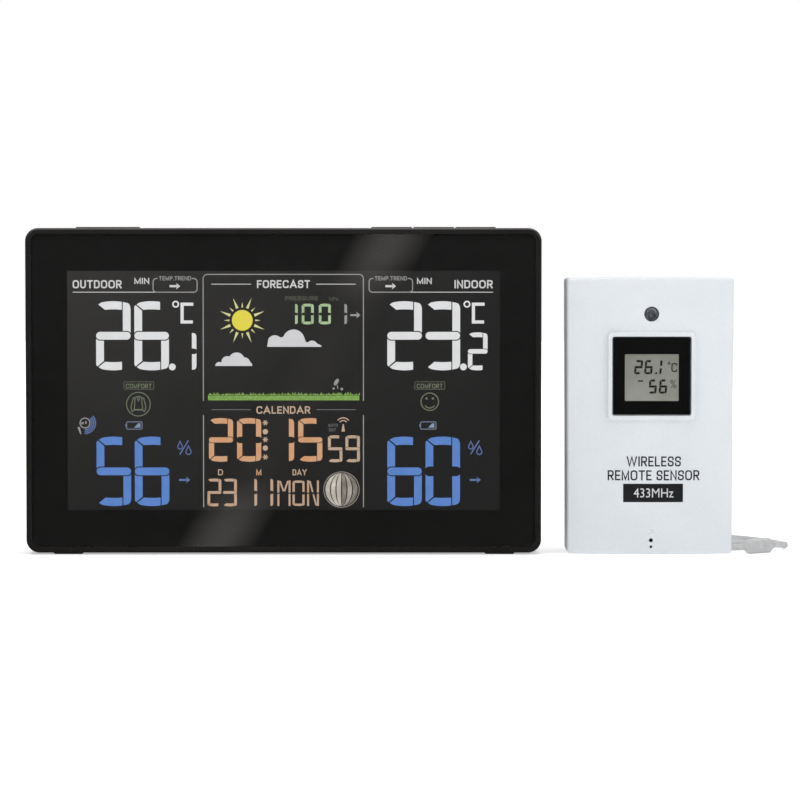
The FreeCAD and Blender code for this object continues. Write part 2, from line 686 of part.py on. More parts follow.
def sensor_front(shell):
    half = SE.box(-40, 40, -60, 60, -5, SE_SPLIT)
    bosses = [SE.rod(u, v, 2.6, face_bow(u) + 1.2, SE_SPLIT - 0.2) for u, v in SE_SCREWS]
    body = fuse([shell.common(half), window_frame()] + bosses)
    holes = [
        SE.plate(SE_WINDOW + 0.3, SE_WINDOW + 0.3, 1.0, -2, 1.3, u=SE_WINDOW_U, v=SE_WINDOW_V),
        SE.plate(23.0, 21.0, 0.6, 0, 5, u=SE_WINDOW_U, v=SE_WINDOW_V),
        SE.rod(MARK_U, LED_V, LED_R + 0.1, -2, 4),
        Part.makeSphere(1.9, SE.at(MARK_U, -42.4, -1.35)),
        SE.rod(MARK_U, -45.6, 0.75, -2, 4),
        SE.rod(MARK_U, -48.0, 0.5, -2, 4),
        seal_ring(),
    ]
    holes += [SE.rod(a, b, 1.1, 4.6, SE_SPLIT + 1) for a, b in SE_SCREWS]
    return cut(body, holes)


def sensor_door_box():
    v0 = SE_KEYS_V0 - SE_DOOR_MARGIN
    v1 = SE_BAY_V1 + SE_DOOR_MARGIN
    return SE_BAY_W + 2 * SE_DOOR_MARGIN, v1 - v0, (v0 + v1) / 2


def sensor_back(shell):
    rear = SE.box(-40, 40, -60, 60, SE_SPLIT, SE_D + 5)
    pad = 1.3
    half = SE_BAY_W / 2
    door_w, door_h, door_v = sensor_door_box()
    walls = [
        SE.box(-half - pad, half + pad, SE_BAY_V0 - pad, SE_BAY_V1 + pad, SE_BAY_D0 - pad, SE_D - 1),
        SE.box(-half - pad, half + pad, SE_KEYS_V0 - pad, SE_BAY_V0, SE_KEYS_D0 - pad, SE_D - 1),
        SE.box(20.2, 29.6, -SE_H / 2 + 0.5, NOTCH_TOP - SE_H / 2 + 1.5, NOTCH_D0 - 1.3, NOTCH_D1 + 1.3),
    ]
    walls += [SE.rod(u, v, 2.6, SE_SPLIT, SE_D - 0.5) for u, v in SE_SCREWS]
    body = fuse([shell.common(rear)] + walls)
    holes = [
        SE.box(-half, half, SE_BAY_V0, SE_BAY_V1, SE_BAY_D0, SE_D + 1),
        SE.box(-half, half, SE_KEYS_V0, SE_BAY_V0 - pad, SE_KEYS_D0, SE_D + 1),
        SE.plate(door_w + 2 * DOOR_GAP, door_h + 2 * DOOR_GAP, 2.0, SE_D - DOOR_T, SE_D + 1, v=door_v),
        SE.box(CORD_U - 3.0, 40, -SE_H / 2 - 1, NOTCH_TOP - SE_H / 2, NOTCH_D0, NOTCH_D1),
        SE.post(CORD_U, CORD_D, 1.8, NOTCH_TOP - SE_H / 2 - 1, NOTCH_TOP - SE_H / 2 + 3),
        keyhole(SE, 0, SE_KEYHOLE_V, 3.6, 1.8, 5, SE_D - 3, SE_D + 1),
        SE.rod(TX_U, KEYS_V, 1.95, SE_KEYS_D0 - 3, SE_KEYS_D0 + 1),
        SE.rod(UNIT_U, KEYS_V, 1.95, SE_KEYS_D0 - 3, SE_KEYS_D0 + 1),
        SE.box(CHANNEL_U - 3.6, CHANNEL_U + 3.6, KEYS_V - 1.3, KEYS_V + 1.3,
               SE_KEYS_D0 - 3, SE_KEYS_D0 + 1),
        seal_ring(),
    ]
    for u, v in SE_SCREWS:
        holes.append(SE.rod(u, v, 1.3, SE_SPLIT - 1, SE_D + 1))
        holes.append(SE.rod(u, v, 2.15, SE_D - 5, SE_D + 1))
    return cut(body, holes)


def sensor_window():
    pane = SE.plate(SE_WINDOW, SE_WINDOW, 0.9, -0.35, 1.25, u=SE_WINDOW_U, v=SE_WINDOW_V)
    return round_edges(pane, 0.2, lies_at_depth(SE.at(0, 0, -0.35).y))


def signal_led():
    body = SE.rod(MARK_U, LED_V, LED_R, 0.6, 4.4)
    dome = Part.makeSphere(4.0, SE.at(MARK_U, LED_V, 3.7)).common(SE.rod(MARK_U, LED_V, LED_R, -1, 0.8))
    collar = SE.rod(MARK_U, LED_V, LED_R + 0.65, 4.3, 5.2)
    return fuse([body, dome, collar])


def sensor_door():
    w, h, v = sensor_door_box()
    door = SE.plate(w, h, 1.8, SE_D - DOOR_T, SE_D, v=v)
    door = round_edges(door, 0.4, lies_at_depth(SE.at(0, 0, SE_D).y))
    pegs = [SE.box(side * 9 - 2.5, side * 9 + 2.5, SE_KEYS_V0 + 0.25, SE_KEYS_V0 + 1.5,
                   SE_D - DOOR_T - 1.4, SE_D - DOOR_T + 0.2) for side in (-1, 1)]
    top = v + h / 2
    ridges = [SE.box(-5, 5, top - 12 + 1.5 * step, top - 11.4 + 1.5 * step, SE_D - 0.3, SE_D + 0.3)
              for step in range(5)]
    return fuse([door] + pegs + ridges)


def sensor_screws():
    screws = []
    for u, v in SE_SCREWS:
        head = SE.rod(u, v, 1.95, SE_D - 5, SE_D - 3.6)
        shank = SE.rod(u, v, 1.1, 4.8, SE_D - 4.9)
        slot_a = SE.box(u - 1.1, u + 1.1, v - 0.25, v + 0.25, SE_D - 4.2, SE_D)
        slot_b = SE.box(u - 0.25, u + 0.25, v - 1.1, v + 1.1, SE_D - 4.2, SE_D)
        screws.append(cut(fuse([head, shank]), [slot_a, slot_b]))
    return screws


# ---------------------------------------------------------------- sensor, inside
SE_BOARD_D0 = 6.0
SE_BOARD_D1 = 7.2


def sensor_lcd():
    return SE.plate(22.4, 20.2, 0.4, 2.8, 4.8, u=SE_WINDOW_U, v=SE_WINDOW_V)


def sensor_board():
    return SE.plate(44, 90, 1.0, SE_BOARD_D0, SE_BOARD_D1)


def sensor_chips():
    chip = SE.box(-6, 4, -20, -10, SE_BOARD_D0 - 1.2, SE_BOARD_D0)
    crystal = SE.box(8, 12, -18, -15, SE_BOARD_D0 - 1.0, SE_BOARD_D0)
    element = SE.box(-1.2, 1.8, -43.5, -40.5, SE_BOARD_D0 - 1.1, SE_BOARD_D0)
    return [chip, crystal, element]


def sensor_antenna():
    """Wire from the board, across its top and down beside the cells."""
    d = SE_BOARD_D1 + 1.8
    spots = [(-15, 33, SE_BOARD_D1), (-15, 33, d), (-15, 44, d),
             (15, 44.5, d), (20.5, 38, d), (20.5, -30, d)]
    return round_wire([SE.at(*spot) for spot in spots], 0.4)[0]


def sensor_switches():
    """Two push switches and the channel switch's body, on the back of the board."""
    pieces = []
    for u in (TX_U, UNIT_U):
        body = SE.box(u - 3, u + 3, KEYS_V - 3, KEYS_V + 3, SE_BOARD_D1, SE_BOARD_D1 + 3.6)
        pieces.append(cut(body, [SE.rod(u, KEYS_V, 1.8, SE_BOARD_D1 + 2.2, SE_BOARD_D1 + 5)]))
    body = SE.box(CHANNEL_U - 5, CHANNEL_U + 5, KEYS_V - 2.5, KEYS_V + 2.5, SE_BOARD_D1, SE_BOARD_D1 + 3.6)
    slot = SE.box(CHANNEL_U - 3.6, CHANNEL_U + 3.6, KEYS_V - 1.2, KEYS_V + 1.2,
                  SE_BOARD_D1 + 2.2, SE_BOARD_D1 + 5)
    pieces.append(cut(body, [slot]))
    return pieces


def push_key(u):
    """Small round key with a flange under the pocket's floor and a stem to its switch."""
    floor = SE_KEYS_D0 - 1.3
    key = SE.rod(u, KEYS_V, 1.7, floor - 1.4, SE_KEYS_D0 + 1.2)
    flange = SE.rod(u, KEYS_V, 2.6, floor - 1.4, floor - 0.1)
    stem = SE.rod(u, KEYS_V, 1.4, SE_BOARD_D1 + 3.3, floor - 1.3)
    return fuse([key, flange, stem])


def channel_knob():
    """Slide that picks one of three radio channels, drawn at the first."""
    u = CHANNEL_U - 2.0
    stem = SE.box(u - 0.9, u + 0.9, KEYS_V - 0.9, KEYS_V + 0.9, SE_BOARD_D1 + 2.6, SE_KEYS_D0 + 0.6)
    cap = SE.box(u - 1.3, u + 1.3, KEYS_V - 1.0, KEYS_V + 1.0, SE_KEYS_D0 - 0.5, SE_KEYS_D0 + 1.4)
    return fuse([stem, cap])


def sensor_cells():
    v0 = SE_BAY_V0 + SE_CELL_FOOT
    return [cell(SE, side * 7.6, SE_CELL_D, v0, AA_R, AA_L, 2.7, side > 0) for side in (-1, 1)]


def sensor_contacts():
    places = [(side * 7.6, side > 0) for side in (-1, 1)]
    v0 = SE_BAY_V0 + SE_CELL_FOOT
    return contact_set(SE, places, SE_CELL_D, (SE_BAY_V0, SE_BAY_V1), (v0, v0 + AA_L), AA_R, 5.5)


# ---------------------------------------------------------------- probe and its cord
GLAND = SE.at(CORD_U, GLAND_Z - SE_H / 2, CORD_D)
COIL_OUT_R = COIL_MEAN_R + COIL_COLUMNS * CORD_R + 0.15
COIL_IN_R = COIL_MEAN_R - COIL_COLUMNS * CORD_R - 0.15
COIL_H = COIL_LAYERS * CORD_D2
OUTER_TURN_R = COIL_MEAN_R + CORD_D2
LEAD_ROUTE = [
    (GLAND.x, GLAND.y, GLAND_Z),
    (GLAND.x, GLAND.y, 3.9),
    (GLAND.x + 2.9, GLAND.y, CORD_R),
    (132.0, GLAND.y + 0.5, CORD_R),
    (137.6, GLAND.y + 4.0, CORD_R),
    (140.3, GLAND.y + 10.3, CORD_R),
    (137.4, -3.6, CORD_R),
    (129.6, -0.6, CORD_R),
    (119.0, -0.9, CORD_R),
    (108.0, COIL_Y - OUTER_TURN_R, CORD_R),
    (98.0, COIL_Y - OUTER_TURN_R + 0.1, CORD_R),
]
PROBE_NECK = V(144.8, -26.6, PROBE_R)
PROBE_DIRECTION = V(-0.8, -0.6, 0.0)
TAIL_ROUTE = [
    (98.0, COIL_Y + OUTER_TURN_R - 0.1, COIL_H - CORD_R),
    (107.5, COIL_Y + OUTER_TURN_R, COIL_H - CORD_R - 0.3),
    (117.5, 28.6, 4.2),
    (128.0, 25.6, 1.6),
    (137.2, 19.6, CORD_R),
    (144.0, 10.8, CORD_R),
    (148.4, 1.4, CORD_R),
    (150.6, -7.4, CORD_R + 0.05),
    (151.0, -15.6, 1.5),
    (149.6, -23.0, PROBE_R),
    (PROBE_NECK.x, PROBE_NECK.y, PROBE_NECK.z),
]


def cord_tube(name, route):
    tube, length, radii = round_wire([V(*point) for point in route], CORD_R)
    wanted = math.pi * CORD_R ** 2 * length
    print(f"{name}: {length:.1f} mm, volume {tube.Volume:.1f} of {wanted:.1f}, radii",
          " ".join(f"{radius:.1f}" for radius in radii))
    return tube


def cord_gland():
    """Rubber bush in the roof of the notch, flush with the end of the cord."""
    v = -SE_H / 2
    bush = SE.post(CORD_U, CORD_D, 1.8, v + GLAND_Z + 0.3, v + NOTCH_TOP + 2.2)
    lip = SE.post(CORD_U, CORD_D, 2.3, v + GLAND_Z, v + NOTCH_TOP)
    flange = SE.post(CORD_U, CORD_D, 2.6, v + NOTCH_TOP + 1.5, v + NOTCH_TOP + 2.6)
    return fuse([bush, lip, flange])


def cord_coil():
    """The spare length wound flat on the table: one ring with the turns' outer form."""
    base = V(COIL_X, COIL_Y, 0)
    ring = Part.makeCylinder(COIL_OUT_R, COIL_H, base).cut(Part.makeCylinder(COIL_IN_R, COIL_H, base))
    return ring.makeFillet(1.1, [edge for edge in ring.Edges if edge.Curve.TypeId == "Part::GeomCircle"])


def coil_tie(coil):
    """Twisted tie round the turns, on the side away from the probe."""
    mid = V(COIL_X - COIL_MEAN_R, COIL_Y, COIL_H / 2)
    reach = COIL_COLUMNS * CORD_R + 0.75
    outside = Part.makeBox(2 * reach, 3.6, COIL_H + 0.5, mid - V(reach, 1.8, COIL_H / 2))
    outside = round_edges(outside, 1.4, runs_along(V(0, 1, 0)))
    return outside.cut(coil)


def probe_tip():
    """Moulded probe: a short taper, a round body and a hemispherical end."""
    taper = 2.0
    neck_r = CORD_R + 0.25
    axis = V(0, 0, 1)
    cone = Part.makeCone(neck_r, PROBE_R, taper, V(0, 0, 0), axis)
    body = Part.makeCylinder(PROBE_R, PROBE_L - taper - PROBE_R, V(0, 0, taper), axis)
    end = Part.makeSphere(PROBE_R, V(0, 0, PROBE_L - PROBE_R))
    probe = fuse([cone, body, end])
    probe.Placement = FreeCAD.Placement(PROBE_NECK, FreeCAD.Rotation(axis, PROBE_DIRECTION))
    return probe


# ---------------------------------------------------------------- write every piece
def build_station():
    save("front_lens", front_lens())
    save("front_frame", front_frame())
    save("rear_case", rear_case())
    for name, (left, right) in TOP_BUTTONS.items():
        save(name, top_button(left, right))
    save("feet", feet())
    save("battery_door", battery_door())
    save("kickstand", kickstand())
    save("stand_pad", stand_pad())
    save("stand_pin", stand_pin())
    save("case_screws", case_screws())
    save("lcd_panel", lcd_panel())
    save("light_guide", light_guide())
    save("backlight_bar", backlight_bar())
    save("display_holder", display_holder())
    save("main_board", main_board())
    save("board_screws", board_screws())
    save("board_chips", board_chips())
    save("receiver_module", receiver_module())
    save("receiver_antenna", receiver_antenna())
    save("button_board", button_board())
    save("button_switches", tact_switches())
    save("speaker", speaker())
    save("climate_element", climate_element())
    save("dc_jack", dc_jack())
    save("station_batteries", station_cells())
    save("station_contacts", station_contacts())


def build_sensor():
    shell = sensor_shell()
    save("sensor_front", sensor_front(shell))
    save("sensor_back", sensor_back(shell))
    save("sensor_seal", seal_ring())
    save("sensor_window", sensor_window())
    save("signal_led", signal_led())
    save("sensor_door", sensor_door())
    save("sensor_screws", sensor_screws())
    save("sensor_lcd", sensor_lcd())
    save("sensor_board", sensor_board())
    save("sensor_chips", sensor_chips())
    save("sensor_antenna", sensor_antenna())
    save("sensor_switches", sensor_switches())
    save("transmit_key", push_key(TX_U))
    save("unit_key", push_key(UNIT_U))
    save("channel_knob", channel_knob())
    save("sensor_batteries", sensor_cells())
    save("sensor_contacts", sensor_contacts())


def build_cord():
    coil = cord_coil()
    save("cord_gland", cord_gland())
    save("probe_cord_lead", cord_tube("lead", LEAD_ROUTE).cut(coil))
    save("probe_cord_tail", cord_tube("tail", TAIL_ROUTE).cut(coil))
    save("cord_coil", coil)
    save("coil_tie", coil_tie(coil))
    save("probe_tip", probe_tip())


build_station()
build_sensor()
build_cord()
print(f"front y {FRONT_Y:.3f}, stand drop {math.degrees(STAND_DROP):.3f} deg,"
      f" station x {ST_X:.2f}, sensor x {SE_X:.2f}")
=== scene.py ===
"""The looks of a home weather station and its outdoor sensor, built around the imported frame.

Drawing on a face is in millimetres, seen from the front: u to the right and v up from the
middle of that face, depth going back into it. Everything else is in metres, in the frame's
own axes. Colours with parts up to 255 are screen colours.
"""

import json
import math
import random

import bmesh
import bpy
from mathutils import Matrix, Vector
from mathutils.bvhtree import BVHTree


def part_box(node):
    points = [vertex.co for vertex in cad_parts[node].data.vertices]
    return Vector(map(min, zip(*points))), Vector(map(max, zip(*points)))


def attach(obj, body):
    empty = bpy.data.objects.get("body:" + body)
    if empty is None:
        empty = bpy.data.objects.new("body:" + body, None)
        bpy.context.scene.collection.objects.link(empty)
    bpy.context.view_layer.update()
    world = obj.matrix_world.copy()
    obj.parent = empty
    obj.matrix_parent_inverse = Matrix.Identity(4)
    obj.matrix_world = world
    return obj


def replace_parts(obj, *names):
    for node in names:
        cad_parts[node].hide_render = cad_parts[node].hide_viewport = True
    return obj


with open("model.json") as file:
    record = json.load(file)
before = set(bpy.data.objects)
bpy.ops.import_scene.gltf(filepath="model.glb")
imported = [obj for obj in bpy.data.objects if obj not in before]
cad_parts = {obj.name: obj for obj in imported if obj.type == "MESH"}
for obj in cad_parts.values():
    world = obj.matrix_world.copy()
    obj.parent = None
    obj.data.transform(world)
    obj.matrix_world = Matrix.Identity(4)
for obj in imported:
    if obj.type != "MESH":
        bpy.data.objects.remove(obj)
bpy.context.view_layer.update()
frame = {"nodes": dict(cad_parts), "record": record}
NODES = frame["nodes"]
MM = 0.001

# -------- faces


class Panel:
    """A face of one body seen from the front, with its own millimetre coordinates.

    A shift moves the middle that they are counted from to the right.
    """

    def __init__(self, node, body, shift=0.0):
        low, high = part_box(node)
        self.low, self.high, self.body = Vector(low), Vector(high), body
        self.x = (low[0] + high[0]) / 2 + shift * MM
        self.z = (low[2] + high[2]) / 2
        self.y = low[1]

    def at(self, u, v, depth):
        return Vector((self.x + u * MM, self.y + depth * MM, self.z + v * MM))


COLUMN_STEP = 106.55                # from an outdoor reading to the indoor one
STATION = Panel("front_frame", "station")
INDOOR = Panel("front_frame", "station", COLUMN_STEP)
SENSOR = Panel("sensor_front", "sensor")
LENS_BACK = (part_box("front_lens")[1][1] - STATION.y) / MM
SENSOR_LCD_DEPTH = (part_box("sensor_lcd")[0][1] - SENSOR.y) / MM
INK_DEPTH = LENS_BACK + 0.07        # the segments stand between the lens and the display
INK_THICK = 0.08

# -------- colours


def linear(red, green, blue):
    """A screen colour from 0 to 255 as linear light."""
    def one(value):
        value /= 255
        return value / 12.92 if value <= 0.04045 else ((value + 0.055) / 1.055) ** 2.4
    return (one(red), one(green), one(blue), 1.0)


# -------- node helpers


class NodeMaker:
    """A node tree, with short calls for making and joining its nodes."""

    def __init__(self, tree):
        self.tree = tree

    def node(self, kind, **sockets):
        made = self.tree.nodes.new(kind)
        for socket, value in sockets.items():
            self.put(value, made.inputs[socket.replace("_", " ")])
        return made

    def put(self, value, socket):
        """Links an output to a socket, or sets a plain value on it."""
        if isinstance(value, bpy.types.NodeSocket):
            self.tree.links.new(value, socket)
        else:
            socket.default_value = value

    def spread(self, value, from_low, from_high, low, high):
        """Maps a value's range onto another range, and clamps it."""
        made = self.node("ShaderNodeMapRange", Value=value)
        for socket, number in zip(("From Min", "From Max", "To Min", "To Max"),
                                  (from_low, from_high, low, high)):
            made.inputs[socket].default_value = number
        return made.outputs[0]


class Recipe(NodeMaker):
    """A material, with short calls for the textures that these materials share."""

    def __init__(self, name):
        self.material = bpy.data.materials.new(name)
        self.material.use_nodes = True
        super().__init__(self.material.node_tree)
        self.shader = self.tree.nodes["Principled BSDF"]
        self.place = self.node("ShaderNodeTexCoord").outputs["Object"]

    def set(self, **sockets):
        for socket, value in sockets.items():
            self.put(value, self.shader.inputs[socket.replace("_", " ")])

    def noise(self, size, detail=3.0, stretch=(1, 1, 1)):
        """Noise whose blobs are about size metres across, from 0 to 1."""
        scaled = self.node("ShaderNodeMapping", Vector=self.place, Scale=stretch)
        return self.node("ShaderNodeTexNoise", Vector=scaled.outputs[0], Scale=1 / size,
                         Detail=detail, Roughness=0.55).outputs["Fac"]

    def clouds(self, size, detail=3.0, low=0.0, high=1.0):
        """Soft noise between two values."""
        return self.spread(self.noise(size, detail), 0.3, 0.7, low, high)

    def cells(self, size):
        """Distance within cells about size metres across."""
        return self.node("ShaderNodeTexVoronoi", Vector=self.place, Scale=1 / size).outputs["Distance"]

    def blend(self, factor, one, two, mode="MIX"):
        made = self.node("ShaderNodeMix")
        made.data_type, made.blend_type = "RGBA", mode
        for socket, value in ((0, factor), (6, one), (7, two)):
            self.put(value, made.inputs[socket])
        return made.outputs[2]

    def axis(self, letter):
        return self.node("ShaderNodeSeparateXYZ", Vector=self.place).outputs[letter]

    def maths(self, operation, one, two=0.0):
        made = self.node("ShaderNodeMath")
        made.operation = operation
        self.put(one, made.inputs[0])
        self.put(two, made.inputs[1])
        return made.outputs[0]

    def bump(self, height, strength, distance):
        bumped = self.node("ShaderNodeBump", Height=height, Strength=strength, Distance=distance)
        self.put(bumped.outputs["Normal"], self.shader.inputs["Normal"])


# -------- materials


def moulded(name, dark, light, rough, grain=0.00045, depth=0.25, coat=0.0, shine=0.5, speck=0.07):
    """Moulded plastic: two close shades in soft clouds, and a spark-eroded grain."""
    made = Recipe(name)
    colour = made.blend(made.clouds(0.02, 4), linear(*dark), linear(*light))
    fine = made.spread(made.noise(0.0006, 2), 0.35, 0.65, 1 - speck, 1 + speck)
    colour = made.blend(1.0, colour, fine, "MULTIPLY")
    made.set(Base_Color=colour, Coat_Weight=coat, Coat_Roughness=0.12, Specular_IOR_Level=shine,
             Roughness=made.clouds(0.006, 3, rough - 0.05, rough + 0.06))
    grainy = made.maths("ADD", made.cells(grain), made.noise(grain * 0.6, 2))
    made.bump(grainy, depth, 0.00006)
    return made.material


def flat_ink(name, dark, light, rough=0.5, shine=0.5):
    """Printing ink, or the dark segments of a display: almost without grain."""
    return moulded(name, dark, light, rough, 0.0008, 0.05, shine=shine)


def lens_glass():
    """Clear acrylic with the faintest wipe marks."""
    made = Recipe("lens_acrylic")
    wipe = made.noise(0.02, 4, stretch=(0.35, 1, 1.6))
    made.set(Base_Color=(0.93, 0.93, 0.94, 1), Transmission_Weight=1.0, IOR=1.49,
             Roughness=made.spread(wipe, 0.45, 0.8, 0.0, 0.01))
    return made.material


def lit(name, colour, strength=1.0, low=0.9, size=0.006, other=None, cell=None):
    """A backlit segment or symbol: even light with a slight cloudiness of the backlight."""
    made = Recipe(name)
    shade = made.blend(1.0, linear(*colour), made.clouds(size, 3, low), "MULTIPLY")
    if other:
        pattern = made.cells(cell) if cell else made.noise(0.004, 3)
        shade = made.blend(made.spread(pattern, 0.35, 0.6, 0, 1), shade, linear(*other))
    made.set(Base_Color=(0.01, 0.01, 0.01, 1), Roughness=0.4, Emission_Color=shade,
             Emission_Strength=strength)
    return made.material


def display_field():
    """The dark field of the negative display, lit by its backlight, with painted light that makes it
    lighter at the top left, and a little cloudy.
    """
    made = Recipe("display_field")
    across = made.spread(made.axis("X"), STATION.low.x, STATION.high.x, 1.0, 0.0)
    upward = made.spread(made.axis("Z"), STATION.low.z, STATION.high.z, 0.0, 1.0)
    # painted light: the field brightens towards its top left corner
    glow = made.maths("MULTIPLY", across, upward)
    shade = made.blend(glow, linear(29, 28, 27), linear(58, 57, 55))
    shade = made.blend(1.0, shade, made.clouds(0.03, 4, 0.88, 1.06), "MULTIPLY")
    made.set(Base_Color=(0.012, 0.012, 0.013, 1), Roughness=0.35, Emission_Color=shade,
             Emission_Strength=1.0)
    return made.material


def sensor_display():
    """The grey-green face of the sensor's reflective display, made to glow with painted light in place of
    the lamp light it would reflect, and dimmed by painted shade towards the top.
    """
    made = Recipe("sensor_display_painted_glow")
    shade = made.blend(made.clouds(0.008, 4), linear(160, 163, 150), linear(176, 178, 167))
    # painted shade: the display's painted glow dims by a tenth towards the top
    painted_top_shade = made.spread(made.axis("Z"), SENSOR.z, SENSOR.z + 0.026, 1.0, 0.9)
    shade = made.blend(1.0, shade, painted_top_shade, "MULTIPLY")
    # the emission is painted light: the reflective display glows in place of the lamp light it would give
    # back
    made.set(Base_Color=shade, Roughness=0.45, Emission_Color=shade, Emission_Strength=0.62)
    return made.material


def rubber(name, dark, light):
    made = Recipe(name)
    dust = made.spread(made.noise(0.0012, 5), 0.4, 0.75, 0, 1)
    made.set(Base_Color=made.blend(dust, linear(*dark), linear(*light)), Specular_IOR_Level=0.3,
             Roughness=made.clouds(0.003, 3, 0.72, 0.9))
    made.bump(made.noise(0.0004, 4), 0.35, 0.00008)
    return made.material


def metal(name, dark, light, rough, stretch=(1, 1, 1)):
    """Plated metal with fine drawn or turned marks along the long side of its stretch."""
    made = Recipe(name)
    streak = made.noise(0.0006, 5, stretch)
    shade = made.blend(made.spread(streak, 0.3, 0.7, 0, 1), linear(*dark), linear(*light))
    made.set(Base_Color=shade, Metallic=1.0,
             Roughness=made.spread(streak, 0.3, 0.7, rough - 0.07, rough + 0.1))
    made.bump(streak, 0.2, 0.00004)
    return made.material


def board():
    """Solder mask with paler tracks and tinned pads."""
    made = Recipe("solder_mask")
    grid = made.node("ShaderNodeTexBrick", Vector=made.place, Scale=150.0,
                     Color1=linear(20, 92, 48), Color2=linear(26, 104, 56), Mortar=linear(44, 130, 74))
    grid.inputs["Mortar Size"].default_value = 0.035
    pad = made.spread(made.cells(0.0035), 0.1, 0.13, 1, 0)
    made.set(Base_Color=made.blend(pad, grid.outputs[0], linear(205, 200, 190)), Roughness=0.38,
             Metallic=made.maths("MULTIPLY", pad, 0.8), Coat_Weight=0.3)
    made.bump(made.maths("ADD", grid.outputs["Fac"], pad), 0.25, 0.00006)
    return made.material


def battery_jacket():
    """A dry cell's wrap: black with a coloured end band, and bare metal at both ends."""
    made = Recipe("battery_wrap")
    low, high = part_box("station_batteries")
    along = made.spread(made.axis("Z"), low[2], high[2], 0.0, 1.0)
    band = made.maths("GREATER_THAN", along, 0.72)
    wrap = made.blend(band, linear(26, 27, 30), linear(196, 122, 44))
    line = made.maths("LESS_THAN", made.maths("ABSOLUTE", made.maths("SUBTRACT", along, 0.70)), 0.012)
    wrap = made.blend(line, wrap, linear(214, 214, 210))
    tip = made.maths("GREATER_THAN", made.maths("ABSOLUTE", made.maths("SUBTRACT", along, 0.5)), 0.482)
    scuff = made.spread(made.noise(0.004, 5), 0.45, 0.8, 0, 0.2)
    wrap = made.blend(scuff, wrap, linear(120, 118, 112))
    made.set(Base_Color=made.blend(tip, wrap, linear(190, 190, 188)), Metallic=tip,
             Roughness=made.clouds(0.002, 3, 0.26, 0.36), Coat_Weight=0.25)
    return made.material


def smoked_led():
    """A small dome of smoked plastic, paler where its lamp shows through."""
    made = Recipe("smoked_led")
    heart = made.spread(made.noise(0.0012, 3), 0.4, 0.7, 0, 1)
    made.set(Base_Color=made.blend(heart, linear(46, 49, 54), linear(104, 108, 116)),
             Roughness=made.clouds(0.002, 3, 0.08, 0.16), Coat_Weight=0.6)
    made.bump(made.noise(0.0009, 2), 0.3, 0.00012)
    return made.material


def cord_jacket(name="cord_jacket", dark=(186, 187, 188), light=(202, 203, 204)):
    """Soft vinyl with an extruded sheen and faint handling marks."""
    made = Recipe(name)
    mark = made.spread(made.noise(0.003, 5), 0.35, 0.75, 0, 1)
    made.set(Base_Color=made.blend(mark, linear(*light), linear(*dark)), Subsurface_Weight=0.05,
             Roughness=made.clouds(0.0015, 3, 0.4, 0.55))
    made.bump(made.noise(0.0006, 3), 0.15, 0.00005)
    return made.material


def floor_surface():
    """A pale floor that brightens into the white of the backdrop away from the object."""
    made = Recipe("studio_floor")
    away = made.node("ShaderNodeVectorMath", Vector=made.place)
    away.operation = "LENGTH"
    glow = made.spread(away.outputs["Value"], 0.15, 0.9, 0.42, 1.0)
    shade = made.blend(made.clouds(0.3), (0.84, 0.84, 0.84, 1), (0.88, 0.88, 0.88, 1))
    made.set(Base_Color=shade, Roughness=0.9, Specular_IOR_Level=0.1,
             Emission_Color=(1, 1, 1, 1), Emission_Strength=glow)
    return made.material


def reflection_card():
    """Emission that fades towards both long sides of the card, and over the display."""
    made = Recipe("reflection_card")
    place = made.node("ShaderNodeSeparateXYZ", Vector=made.node("ShaderNodeTexCoord").outputs["UV"])
    across = made.maths("ABSOLUTE", made.maths("SUBTRACT", place.outputs["X"], 0.5))
    along = made.maths("ABSOLUTE", made.maths("SUBTRACT", place.outputs["Y"], 0.625))
    fade = made.maths("MULTIPLY", made.spread(across, 0.08, 0.5, 1.0, 0.0),
                      made.spread(along, 0.14, 0.21, 0.12, 1.0))
    made.set(Base_Color=(0, 0, 0, 1), Specular_IOR_Level=0.0, Emission_Color=(1.0, 0.97, 0.93, 1),
             Emission_Strength=made.maths("MULTIPLY", fade, 1.15))
    return made.material


